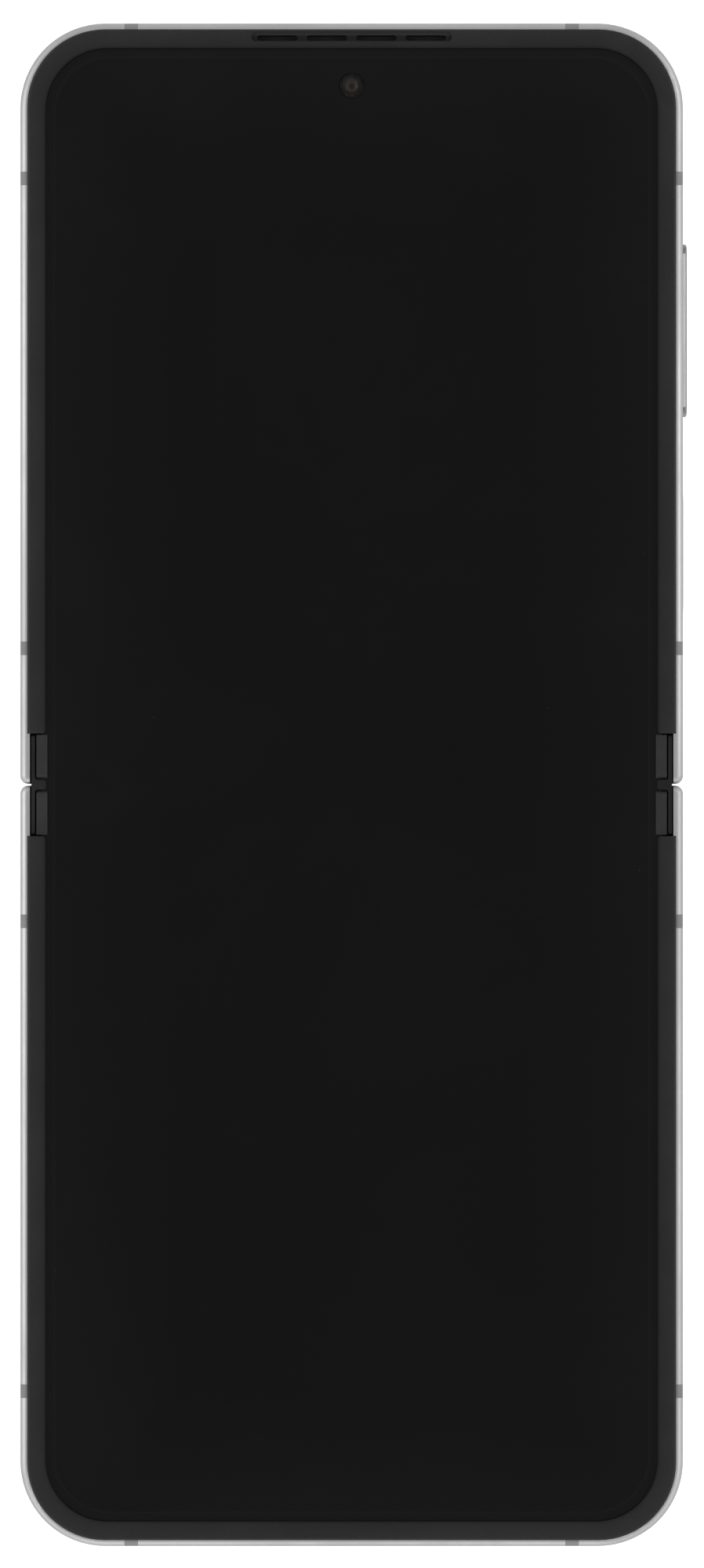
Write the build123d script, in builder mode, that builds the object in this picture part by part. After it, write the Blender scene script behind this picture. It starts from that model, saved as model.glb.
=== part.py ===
from build123d import *
from math import atan2, cos, degrees, pi, radians, sin, sqrt
import os

"""A folding phone that opens flat, in millimetres.

Frame: +X to the right, +Y towards the earpiece end, +Z out of the inner display.
Origin: middle of the back, at the fold line, on the plane of the back glass.
"""

os.makedirs("parts", exist_ok=True)

# ---------------------------------------------------------------- driving sizes

# Overall
phone_length = 165.2
phone_width = 71.9
body_thickness = 6.9
corner_radius = 9.2
edge_round = 0.75
fold_gap = 0.2
fold_corner_radius = 0.85

# Metal frame
side_band = 0.78
end_band = 0.70
wall_thickness = 2.2
hinge_wall = 1.05
fold_bar_width = 2.5
fold_bar_thickness = 1.0
deck_height = 5.6

# Plastic bands in the metal frame
band_width = 1.49
band_depth = 1.2
band_near_fold = 14.8
band_beyond_tray = 1.25
band_from_middle = 23.9

# Back glass
glass_thickness = 0.7
glass_inset = 1.1
glass_ledge = 1.2
glass_edge_round = 0.12

# Display and its surround
plate_thickness = 0.25
display_thickness = 0.7
bezel_width = 1.97
bezel_top_width = 2.04
bezel_height = 0.4
bezel_lip_height = 0.05
bezel_edge_round = 0.3
display_under_lip = 0.45
bezel_clearance = 0.05
closed_gap = 0.5
bezel_from_fold = 5.55
bezel_corner_round = 0.4
fold_zone_half = 2.7

# Hinge spine
spine_clearance = 0.2
spine_wall = 0.5
spine_end_gap = 0.17
end_cap_thickness = 0.39
cap_bar_half_height = 5.4
cap_stem_half_width = 0.5
cap_stem_reach = 1.57
cap_lip = 0.25
cap_round = 0.25
cap_stem_fillet = 0.3

# Plastic flaps over the display edge at the fold
flap_width = 1.17
flap_gap = 0.17
flap_from_fold = 0.66
flap_to = 5.4
flap_thickness = 0.3
flap_nose_round = 0.55
flap_corner_round = 0.3

# Hinge mechanism
friction_bay = 2.8
cheek = 0.8
plane_width = 1.8
plane_gap = 0.15
running_clearance = 0.05
link_thickness = 0.4
link_gap = 0.15
link_start = 2.75
link_end = 9.6
rail_inner_radius = 2.4
rail_width = 0.6
rail_end_angle = 150
sector_ring_inner = 1.5
sector_end_angle = 157
gear_module = 0.22
pinion_teeth = 10
sector_teeth = 18
tooth_share = 0.38
addendum = 0.8
dedendum = 1.05
shaft_radius = 0.4
gear_pocket_gap = 0.12
friction_disc_radius = 1.05
friction_disc_count = 5
friction_disc_thickness = 0.3

# Screws
screw_head_radius = 0.9
screw_head_height = 0.3
screw_shank_radius = 0.5
screw_hole_gap = 0.08
boss_radius = 1.3
hinge_screw_length = 1.4
board_screw_length = 1.6
bracket_screw_length = 1.65

# Keys on the right edge
key_height = 2.3
key_middle_height = 3.3
key_slot_gap = 0.12
key_flange_overlap = 0.45
volume_key_length = 18.8
volume_key_from_fold = 49.4
volume_key_proud = 0.5
power_key_length = 13.2
power_key_from_fold = 25.2
power_key_proud = 0.1
key_travel = 0.2
switch_thickness = 0.55
switch_radius = 1.4
switch_spacing = 6.0
sensor_margin = 0.45
sensor_thickness = 0.3

# Card tray on the left edge
tray_length = 15.0
tray_head_height = 1.7
tray_head_depth = 1.35
tray_head_round = 0.55
tray_depth = 13.2
tray_beyond_battery = 10.5
tray_height = 3.4
tray_plate = 0.8
tray_gap = 0.08
card_length = 12.3
card_width = 8.8
card_floor = 0.25
card_corner = 0.6
reader_wall = 0.25
reader_play = 0.15
pin_hole_radius = 0.45

# Front camera and earpiece
front_camera_from_top = 6.8
front_camera_radius = 1.42
front_camera_body = 5.2
front_camera_sunk = 0.15
earpiece_width = 21.7
earpiece_height = 1.06
earpiece_recess = 0.15
earpiece_from_top = 1.5
slot_length = 4.38
slot_width = 0.58
slot_pitch = 5.36
slot_count = 4
slot_from_top = 1.67

# Rear cameras and flash
camera_spacing = 14.2
camera_from_middle = 24.2
camera_from_top = 12.2
camera_ring_radius = 6.1
camera_ring_width = 0.75
camera_ring_proud = 0.35
camera_lens_radius = 2.6
camera_glass_thickness = 0.5
main_camera_size = 11.6
wide_camera_size = 9.4
flash_radius = 1.9
flash_from_camera = 10.5

# Openings in the lower end
usb_width = 9.0
usb_height = 3.2
usb_inner_width = 8.34
usb_inner_height = 2.56
usb_depth = 7.2
usb_middle_height = 3.3
usb_tongue_width = 6.69
usb_tongue_height = 0.7
usb_tongue_length = 4.45
usb_outer_gap = 0.03
speaker_hole_length = 2.6
speaker_hole_width = 1.1
speaker_hole_pitch = 3.9
speaker_hole_count = 4
speaker_from_middle = 14.5
microphone_hole_radius = 0.5
microphone_from_middle = 11.0

# Pieces inside
piece_gap = 0.3
board_thickness = 0.6
midplate_thickness = 0.6
battery_bottom = 1.6
battery_round = 1.2
battery_margin = 2.2
upper_board_zone = 36.1
lower_board_zone = 22.6
cover_display_thickness = 0.7
cover_display_margin = 3.4
cover_display_gap = 2.6
coil_outer_radius = 21.0
coil_inner_radius = 11.0
coil_thickness = 0.35
shield_height = 1.3
shield_length = 11.0
shield_width = 16.0
loudspeaker_length = 20.0
loudspeaker_width = 11.5
loudspeaker_height = 3.0
motor_length = 14.0
motor_width = 8.0
motor_height = 2.9
earpiece_speaker_length = 13.0
earpiece_speaker_width = 5.2
earpiece_speaker_height = 2.2
microphone_size = 3.0
microphone_height = 1.0
flex_width = 9.0
flex_thickness = 0.12
flex_from_middle = 6.0
flex_reach = 9.4

# ---------------------------------------------------------------- derived values

half_length = phone_length / 2
half_width = phone_width / 2
fold_edge = fold_gap / 2
bezel_outer = half_width - side_band
bezel_inner = bezel_outer - bezel_width
bezel_end = half_length - end_band
display_half_width = bezel_inner + display_under_lip
display_end = bezel_end - bezel_top_width + display_under_lip
plate_top = deck_height + plate_thickness
display_top = plate_top + display_thickness
lip_bottom = display_top + bezel_lip_height
bezel_top = body_thickness + bezel_height
axis_height = plate_top + display_thickness / 2
axis_offset = closed_gap / 2 + bezel_top - axis_height
cavity_half_width = half_width - wall_thickness
cavity_end = half_length - wall_thickness
hinge_half_width = half_width - hinge_wall
spine_half_length = hinge_half_width - spine_end_gap
cover_radius = axis_height - fold_bar_thickness - spine_clearance
cover_bore = cover_radius - spine_wall
link_bottom = deck_height - link_thickness
cover_top = link_bottom - link_gap
bracket_top = cover_top - running_clearance
bay_end = axis_offset + cover_radius + piece_gap
shelf_start = fold_bar_width + glass_ledge
midplate_bottom = deck_height - midplate_thickness
volume_key_middle = volume_key_from_fold
power_key_middle = power_key_from_fold
upper_battery_to = half_length - upper_board_zone
lower_battery_to = half_length - lower_board_zone
tray_from_fold = upper_battery_to + tray_beyond_battery
band_far_from_fold = tray_from_fold + tray_length / 2 + band_beyond_tray
tray_bottom = tray_height - tray_plate / 2
board_bottom = tray_bottom + tray_plate + reader_play + reader_wall
board_top = board_bottom + board_thickness
cap_top = lip_bottom + cap_lip

# X positions along one hinge module, which ends beside a screw lug at the end of the spine
cover_half_length = spine_half_length - end_cap_thickness
lug_width = 2 * boss_radius + 2 * piece_gap
pocket_width = plane_width + 2 * plane_gap
module_length = friction_bay + 5 * pocket_width + 6 * cheek
module_start = cover_half_length - lug_width - module_length
first_cheek = module_start + friction_bay
upper_sector_plane = first_cheek + cheek
train_plane = upper_sector_plane + pocket_width + cheek
lower_sector_plane = train_plane + pocket_width + cheek
upper_rail_plane = lower_sector_plane + pocket_width + cheek
lower_rail_plane = upper_rail_plane + pocket_width + cheek
module_end = lower_rail_plane + pocket_width + cheek

# Gear centres as seen from the right: two gears of each half in a row under the display
pinion_radius = gear_module * pinion_teeth / 2
sector_radius = gear_module * sector_teeth / 2
pinion_tip = pinion_radius + addendum * gear_module
sector_tip = sector_radius + addendum * gear_module
inner_gear_y = pinion_radius
outer_gear_y = 3 * pinion_radius
gear_height = axis_height - sqrt((sector_radius + pinion_radius) ** 2 - (outer_gear_y - axis_offset) ** 2)
mesh_angle = degrees(atan2(gear_height - axis_height, outer_gear_y - axis_offset))


def next_phase(phase, teeth, direction, next_teeth):
    """Angle of a tooth of the next gear in mesh, in degrees, for the line of centres at direction."""
    ahead = (direction - phase) * teeth / 360
    return direction + 180 - (0.5 - ahead) * 360 / next_teeth


# Angle of one tooth of each wheel, worked out along the train from the upper arm to the lower arm
upper_sector_phase = mesh_angle
upper_outer_phase = next_phase(upper_sector_phase, sector_teeth, mesh_angle, pinion_teeth)
upper_inner_phase = next_phase(upper_outer_phase, pinion_teeth, 180, pinion_teeth)
lower_inner_phase = next_phase(upper_inner_phase, pinion_teeth, 180, pinion_teeth)
lower_outer_phase = next_phase(lower_inner_phase, pinion_teeth, 180, pinion_teeth)
lower_sector_phase = next_phase(lower_outer_phase, pinion_teeth, -mesh_angle, sector_teeth)


# ---------------------------------------------------------------- shared shapes


def slab(x_low, x_high, y_low, y_high, z_low, z_high, mode=Mode.ADD):
    """Box between two limits along each axis."""
    middle = ((x_low + x_high) / 2, (y_low + y_high) / 2, (z_low + z_high) / 2)
    with Locations(middle):
        return Box(x_high - x_low, y_high - y_low, z_high - z_low, mode=mode)


def half_plan(side_inset, end_inset, near_line, outer_radius, near_radius=0):
    """Plan of the upper half from near_line outwards, with large corners at the outer end."""
    far_line = half_length - end_inset
    with BuildSketch() as plan:
        with Locations((0, (near_line + far_line) / 2)):
            Rectangle(phone_width - 2 * side_inset, far_line - near_line)
        fillet(plan.vertices().group_by(Axis.Y)[-1], outer_radius)
        if near_radius > 0:
            fillet(plan.vertices().group_by(Axis.Y)[0], near_radius)
    return plan.sketch


def spine_section(radius, top):
    """Section across the spine: a round-ended trough about the two fold axes, level at the top."""
    with BuildSketch() as section:
        with Locations((0, axis_height)):
            SlotCenterToCenter(2 * axis_offset, 2 * radius)
        with Locations((0, top)):
            Rectangle(4 * radius, 2 * radius, align=(Align.CENTER, Align.MIN), mode=Mode.SUBTRACT)
    return section.sketch


def arc_band(centre_y, inner_radius, outer_radius, end_angle, direction):
    """Ring segment about a fold axis, from the deck down and round by end_angle degrees."""
    with BuildSketch() as band:
        with Locations((centre_y, axis_height)):
            Circle(outer_radius)
            Circle(inner_radius, mode=Mode.SUBTRACT)
        with Locations((0, deck_height)):
            Rectangle(
                9 * outer_radius, 2 * outer_radius, align=(Align.CENTER, Align.MIN), mode=Mode.SUBTRACT
            )
        with Locations((centre_y, axis_height)):
            limit = radians(-end_angle)
            reach = 2 * outer_radius
            far = (direction * reach * cos(limit), reach * sin(limit))
            across = (direction * -reach, 0)
            Polygon((0, 0), far, across, align=None, mode=Mode.SUBTRACT)
    return band.sketch


def tooth(pitch_radius, teeth):
    """One straight-sided tooth pointing along local X, sunk a little into the rim."""
    pitch = 2 * pi * pitch_radius / teeth
    middle_half = pitch * tooth_share / 2
    root = pitch_radius - dedendum * gear_module
    tip = pitch_radius + addendum * gear_module
    sunk = root - 0.3 * gear_module
    root_half = middle_half * 1.45
    tip_half = middle_half * 0.5
    with BuildSketch() as outline:
        Polygon((sunk, -root_half), (tip, -tip_half), (tip, tip_half), (sunk, root_half), align=None)
    return outline.sketch


def pinion_wheel(centre_y, phase):
    """Wheel of a small gear, in the plane across the spine."""
    with BuildSketch() as wheel:
        with Locations((centre_y, gear_height)):
            Circle(pinion_radius - dedendum * gear_module)
        with Locations((centre_y, gear_height)):
            with PolarLocations(0, pinion_teeth, start_angle=phase):
                add(tooth(pinion_radius, pinion_teeth))
    return wheel.sketch


def sector_wheel(centre_y, phase, direction):
    """Toothed ring segment of an arm, in the plane across the spine."""
    rim = sector_radius - dedendum * gear_module
    first = mesh_angle if direction > 0 else -180 - mesh_angle
    with BuildSketch() as wheel:
        add(arc_band(centre_y, sector_ring_inner, rim, sector_end_angle, direction))
        with Locations((centre_y, axis_height)):
            for step in range(sector_teeth):
                angle = phase + step * 360 / sector_teeth
                past_mesh = direction * (first - angle) % 360
                if past_mesh < sector_end_angle + mesh_angle - 8 or past_mesh > 352:
                    with Locations(Rotation(0, 0, angle)):
                        add(tooth(sector_radius, sector_teeth))
    return wheel.sketch


# ---------------------------------------------------------------- metal frames and their plastic bands

with BuildPart() as bare_frame:
    with BuildSketch():
        add(half_plan(0, 0, fold_edge, corner_radius, fold_corner_radius))
    extrude(amount=body_thickness)
    fillet(bare_frame.faces().sort_by(Axis.Z)[-1].edges(), edge_round)
    fillet(bare_frame.faces().sort_by(Axis.Z)[0].edges(), edge_round)
    # Recess for the back glass
    with BuildSketch():
        add(half_plan(glass_inset, glass_inset, fold_bar_width, corner_radius - glass_inset, glass_inset))
    extrude(amount=glass_thickness, mode=Mode.SUBTRACT)
    # Cavity behind the display, with a ledge left around the glass
    with BuildSketch(Plane.XY.offset(glass_thickness)):
        add(half_plan(wall_thickness, wall_thickness, shelf_start, corner_radius - wall_thickness))
    extrude(amount=body_thickness, mode=Mode.SUBTRACT)
    # Seat of the plastic surround, with the deck as its floor
    with BuildSketch(Plane.XY.offset(deck_height)):
        add(half_plan(side_band, end_band, bezel_from_fold, corner_radius - side_band))
    extrude(amount=body_thickness, mode=Mode.SUBTRACT)
    # Bay for the hinge spine, open towards the other half
    slab(
        -hinge_half_width, hinge_half_width, 0, bay_end, fold_bar_thickness, 2 * body_thickness,
        mode=Mode.SUBTRACT,
    )

with BuildPart() as band_slots:
    for height in (band_near_fold, band_far_from_fold):
        for side in (-1, 1):
            outer = side * 2 * half_width
            inner = side * (half_width - band_depth)
            slab(
                min(outer, inner), max(outer, inner), height - band_width / 2, height + band_width / 2,
                0, body_thickness,
            )
    for middle in (-band_from_middle, band_from_middle):
        slab(
            middle - band_width / 2, middle + band_width / 2, half_length - band_depth, 2 * half_length,
            0, body_thickness,
        )

with BuildPart() as upper_antenna_bands:
    add(bare_frame.part)
    add(band_slots.part, mode=Mode.INTERSECT)
upper_antenna_bands.part.label = "upper_antenna_bands"
export_step(upper_antenna_bands.part, "parts/upper_antenna_bands.step")

with BuildPart() as lower_antenna_bands:
    add(mirror(upper_antenna_bands.part, about=Plane.XZ))
lower_antenna_bands.part.label = "lower_antenna_bands"
export_step(lower_antenna_bands.part, "parts/lower_antenna_bands.step")

with BuildPart() as plain_frame:
    add(bare_frame.part)
    add(band_slots.part, mode=Mode.SUBTRACT)

with BuildPart() as upper_frame:
    add(plain_frame.part)
    for middle, length in ((volume_key_middle, volume_key_length), (power_key_middle, power_key_length)):
        with BuildSketch(Plane.YZ.offset(cavity_half_width - plane_gap)):
            with Locations((middle, key_middle_height)):
                SlotOverall(length + 2 * key_slot_gap, key_height + 2 * key_slot_gap)
        extrude(amount=2 * wall_thickness, mode=Mode.SUBTRACT)
    # Way for the card tray: a wide mouth for its head and a narrower way for its plate
    with BuildSketch(Plane.YZ.offset(-2 * half_width)):
        with Locations((tray_from_fold, tray_height)):
            RectangleRounded(
                tray_length + 2 * tray_gap, tray_head_height + 2 * tray_gap, tray_head_round + tray_gap
            )
    extrude(amount=half_width + tray_head_depth + tray_gap, mode=Mode.SUBTRACT)
    slab(
        -half_width, -cavity_half_width + plane_gap,
        tray_from_fold - tray_length / 2 + tray_plate - tray_gap,
        tray_from_fold + tray_length / 2 - tray_plate + tray_gap,
        tray_bottom - tray_gap, tray_bottom + tray_plate + tray_gap,
        mode=Mode.SUBTRACT,
    )
    # Duct from the earpiece slots into the cavity
    slab(
        -earpiece_width / 2, earpiece_width / 2, cavity_end - plane_gap,
        half_length - slot_from_top + slot_width, midplate_bottom, body_thickness,
        mode=Mode.SUBTRACT,
    )
upper_frame.part.label = "upper_frame"
export_step(upper_frame.part, "parts/upper_frame.step")

with BuildPart() as lower_frame:
    add(mirror(plain_frame.part, about=Plane.XZ))
    with BuildSketch(Plane.XZ.offset(cavity_end - wall_thickness)):
        with Locations((0, usb_middle_height)):
            SlotOverall(usb_width, usb_height)
        with Locations((speaker_from_middle, usb_middle_height)):
            with GridLocations(speaker_hole_pitch, 0, speaker_hole_count, 1):
                SlotOverall(speaker_hole_length, speaker_hole_width)
        with Locations((-microphone_from_middle, usb_middle_height)):
            Circle(microphone_hole_radius)
    extrude(amount=3 * wall_thickness, mode=Mode.SUBTRACT)
lower_frame.part.label = "lower_frame"
export_step(lower_frame.part, "parts/lower_frame.step")

# ---------------------------------------------------------------- back glass, surround and display

with BuildPart() as plain_glass:
    with BuildSketch():
        add(half_plan(glass_inset, glass_inset, fold_bar_width, corner_radius - glass_inset, glass_inset))
    extrude(amount=glass_thickness)
    fillet(plain_glass.faces().sort_by(Axis.Z)[0].edges(), glass_edge_round)

camera_y = half_length - camera_from_top
camera_places = [(camera_from_middle, camera_y), (camera_from_middle - camera_spacing, camera_y)]
flash_place = (camera_from_middle - camera_spacing - flash_from_camera, camera_y)

with BuildPart() as upper_back_glass:
    add(plain_glass.part)
    with Locations(*camera_places):
        Cylinder(
            camera_ring_radius - camera_ring_width / 2, 3 * glass_thickness, mode=Mode.SUBTRACT
        )
    with Locations(flash_place):
        Cylinder(flash_radius, 3 * glass_thickness, mode=Mode.SUBTRACT)
upper_back_glass.part.label = "upper_back_glass"
export_step(upper_back_glass.part, "parts/upper_back_glass.step")

with BuildPart() as lower_back_glass:
    add(mirror(plain_glass.part, about=Plane.XZ))
lower_back_glass.part.label = "lower_back_glass"
export_step(lower_back_glass.part, "parts/lower_back_glass.step")

with BuildPart() as plain_bezel:
    with BuildSketch(Plane.XY.offset(deck_height)):
        add(half_plan(side_band, end_band, bezel_from_fold, corner_radius - side_band, bezel_corner_round))
    extrude(amount=bezel_top - deck_height)
    fillet(plain_bezel.faces().sort_by(Axis.Z)[-1].edges(), bezel_edge_round)
    # Opening over the display, with a thin lip reaching in over its edge and round corners at the fold
    lip_side = half_width - bezel_inner
    lip_end = half_length - (bezel_end - bezel_top_width)
    with BuildSketch(Plane.XY.offset(deck_height)):
        add(half_plan(lip_side, lip_end, 0, corner_radius - lip_side + bezel_edge_round))
        round_x = bezel_inner + bezel_corner_round
        round_y = bezel_from_fold + bezel_corner_round
        with Locations((-round_x, bezel_from_fold)):
            Rectangle(2 * round_x, bezel_corner_round, align=(Align.MIN, Align.MIN))
        with Locations((-round_x, round_y), (round_x, round_y)):
            Circle(bezel_corner_round, mode=Mode.SUBTRACT)
    extrude(amount=body_thickness, mode=Mode.SUBTRACT)
    pocket_side = half_width - display_half_width - bezel_clearance
    pocket_end = half_length - display_end - bezel_clearance
    with BuildSketch(Plane.XY.offset(deck_height)):
        add(half_plan(pocket_side, pocket_end, 0, corner_radius - pocket_side + bezel_edge_round))
    extrude(amount=lip_bottom - deck_height, mode=Mode.SUBTRACT)

earpiece_y = half_length - earpiece_from_top
slot_y = half_length - slot_from_top

with BuildPart() as upper_bezel:
    add(plain_bezel.part)
    # Shallow recess of the earpiece and the slots at its bottom
    with BuildSketch(Plane.XY.offset(bezel_top)):
        with Locations((0, earpiece_y)):
            SlotOverall(earpiece_width, earpiece_height)
    extrude(amount=-earpiece_recess, mode=Mode.SUBTRACT)
    with BuildSketch(Plane.XY.offset(bezel_top)):
        with Locations((0, slot_y)):
            with GridLocations(slot_pitch, 0, slot_count, 1):
                SlotOverall(slot_length, slot_width)
    extrude(amount=-body_thickness, mode=Mode.SUBTRACT)
upper_bezel.part.label = "upper_bezel"
export_step(upper_bezel.part, "parts/upper_bezel.step")

with BuildPart() as lower_bezel:
    add(mirror(plain_bezel.part, about=Plane.XZ))
lower_bezel.part.label = "lower_bezel"
export_step(lower_bezel.part, "parts/lower_bezel.step")


def display_sheet(bottom, thickness, near_line, side_shift=0):
    """Flat sheet of the display stack, from near_line to the outer end of the upper half."""
    side = half_width - display_half_width + side_shift
    end = half_length - display_end
    with BuildPart() as sheet:
        with BuildSketch(Plane.XY.offset(bottom)):
            add(half_plan(side, end, near_line, corner_radius - side + bezel_edge_round))
        extrude(amount=thickness)
    return sheet.part


front_camera_y = half_length - front_camera_from_top

with BuildPart() as upper_display_panel:
    add(display_sheet(plate_top, display_thickness, fold_zone_half))
    with Locations((0, front_camera_y, display_top)):
        Cylinder(front_camera_radius, 4 * display_thickness, mode=Mode.SUBTRACT)
upper_display_panel.part.label = "upper_display_panel"
export_step(upper_display_panel.part, "parts/upper_display_panel.step")

with BuildPart() as lower_display_panel:
    add(mirror(display_sheet(plate_top, display_thickness, fold_zone_half), about=Plane.XZ))
lower_display_panel.part.label = "lower_display_panel"
export_step(lower_display_panel.part, "parts/lower_display_panel.step")

with BuildPart() as display_fold:
    slab(
        -display_half_width, display_half_width, -fold_zone_half, fold_zone_half, plate_top, display_top
    )
display_fold.part.label = "display_fold"
export_step(display_fold.part, "parts/display_fold.step")

flap_outer = spine_half_length - end_cap_thickness - flap_gap
flap_inner = flap_outer - flap_width
flap_top = lip_bottom + flap_thickness

with BuildPart() as plain_plate:
    add(display_sheet(deck_height, plate_thickness, bezel_from_fold))
    slab(-flap_inner, flap_inner, fold_zone_half, bezel_from_fold, deck_height, plate_top)

with BuildPart() as upper_display_plate:
    add(plain_plate.part)
    with Locations((0, front_camera_y, plate_top)):
        Cylinder(front_camera_radius + piece_gap, display_thickness, mode=Mode.SUBTRACT)
upper_display_plate.part.label = "upper_display_plate"
export_step(upper_display_plate.part, "parts/upper_display_plate.step")

with BuildPart() as lower_display_plate:
    add(mirror(plain_plate.part, about=Plane.XZ))
lower_display_plate.part.label = "lower_display_plate"
export_step(lower_display_plate.part, "parts/lower_display_plate.step")

# Flaps: a channel around the edge of the display, on both sides of each half
with BuildPart() as upper_flaps:
    with BuildSketch(Plane.XY.offset(deck_height)) as flap_plan:
        with Locations((flap_outer, flap_from_fold)):
            Rectangle(flap_width, flap_to - flap_from_fold, align=(Align.MAX, Align.MIN))
        near_fold = flap_plan.vertices().group_by(Axis.Y)[0].sort_by(Axis.X)
        fillet(near_fold[-1], flap_corner_round)
    extrude(amount=flap_top - deck_height)
    # Round the nose, so that it clears the stem of the end cap as the phone folds
    with BuildSketch(Plane.YZ.offset(flap_inner)):
        with Locations((flap_from_fold, flap_top)):
            Rectangle(flap_nose_round, flap_nose_round, align=(Align.MIN, Align.MAX))
        with Locations((flap_from_fold + flap_nose_round, flap_top - flap_nose_round)):
            Circle(flap_nose_round, mode=Mode.SUBTRACT)
    extrude(amount=flap_width, mode=Mode.SUBTRACT)
    slab(
        flap_inner - flap_width, display_half_width + bezel_clearance, 0, flap_to + flap_width,
        plate_top, lip_bottom, mode=Mode.SUBTRACT,
    )
    slab(
        flap_inner - flap_width, display_half_width + bezel_clearance, 0, fold_zone_half,
        deck_height, lip_bottom, mode=Mode.SUBTRACT,
    )
    mirror(about=Plane.YZ)
upper_flaps.part.label = "upper_flaps"
export_step(upper_flaps.part, "parts/upper_flaps.step")

with BuildPart() as lower_flaps:
    add(mirror(upper_flaps.part, about=Plane.XZ))
lower_flaps.part.label = "lower_flaps"
export_step(lower_flaps.part, "parts/lower_flaps.step")

# ---------------------------------------------------------------- hinge spine

cover_floor = axis_height - cover_bore
lug_places = (module_start - lug_width / 2, module_end + lug_width / 2)
lug_boss_top = cover_floor + screw_head_height + piece_gap
bracket_hole_depth = bracket_screw_length - screw_head_height - cheek + link_gap
screw_hole_radius = screw_shank_radius + screw_hole_gap

with BuildPart() as hinge_cover:
    with BuildSketch(Plane.YZ.offset(-cover_half_length)):
        add(spine_section(cover_radius, cover_top))
        add(spine_section(cover_bore, 2 * axis_height), mode=Mode.SUBTRACT)
    extrude(amount=2 * cover_half_length)
    # Round bosses that carry the brackets, with blind holes for their screws
    for side in (-1, 1):
        for place in lug_places:
            with Locations((side * place, 0, cover_floor)):
                Cylinder(
                    boss_radius, lug_boss_top - cover_floor, align=(Align.CENTER, Align.CENTER, Align.MIN)
                )
            with Locations((side * place, 0, lug_boss_top)):
                Cylinder(
                    screw_hole_radius, bracket_hole_depth,
                    align=(Align.CENTER, Align.CENTER, Align.MAX), mode=Mode.SUBTRACT,
                )
hinge_cover.part.label = "hinge_cover"
export_step(hinge_cover.part, "parts/hinge_cover.step")

with BuildPart() as hinge_end_caps:
    with BuildSketch(Plane.YZ.offset(cover_half_length)):
        add(spine_section(cover_radius, cover_top))
        with Locations((0, cover_top)):
            Rectangle(
                2 * cap_bar_half_height, cap_top - cover_top, align=(Align.CENTER, Align.MIN)
            )
    extrude(amount=end_cap_thickness)
    corners = hinge_end_caps.edges().filter_by(Axis.X).group_by(Axis.Z)[-1]
    fillet(corners, cap_round)
    # Stem of the T, reaching in over the edge of the display
    with BuildSketch(Plane.XY.offset(cover_top + link_gap)) as stem_plan:
        with Locations((cover_half_length, 0)):
            Rectangle(
                cap_stem_reach - end_cap_thickness, 2 * cap_stem_half_width,
                align=(Align.MAX, Align.CENTER),
            )
        fillet(stem_plan.vertices().group_by(Axis.X)[0], cap_stem_half_width / 2)
    extrude(amount=cap_top - cover_top - link_gap)
    slab(
        flap_inner, display_half_width + bezel_clearance, -cap_bar_half_height, cap_bar_half_height,
        cover_top, lip_bottom, mode=Mode.SUBTRACT,
    )
    upright = hinge_end_caps.edges().filter_by(Axis.Z).filter_by_position(
        Axis.Y, -cap_stem_half_width - running_clearance, cap_stem_half_width + running_clearance
    )
    fillet(upright.sort_by(Axis.X)[-2:], cap_stem_fillet)
    mirror(about=Plane.YZ)
hinge_end_caps.part.label = "hinge_end_caps"
export_step(hinge_end_caps.part, "parts/hinge_end_caps.step")


def gear_pocket(centre_y):
    """Clearance around one small gear, open at the top."""
    radius = pinion_tip + gear_pocket_gap
    with Locations((centre_y, gear_height)):
        Circle(radius)
        Rectangle(2 * radius, axis_height, align=(Align.CENTER, Align.MIN))


def sector_pocket(centre_y):
    """Clearance around the toothed sector of an arm."""
    with Locations((centre_y, axis_height)):
        Circle(sector_tip + gear_pocket_gap)


def rail_groove(centre_y):
    """Curved groove that an arm's rail slides in."""
    with Locations((centre_y, axis_height)):
        Circle(rail_inner_radius + rail_width + running_clearance)
        Circle(rail_inner_radius - running_clearance, mode=Mode.SUBTRACT)


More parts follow.
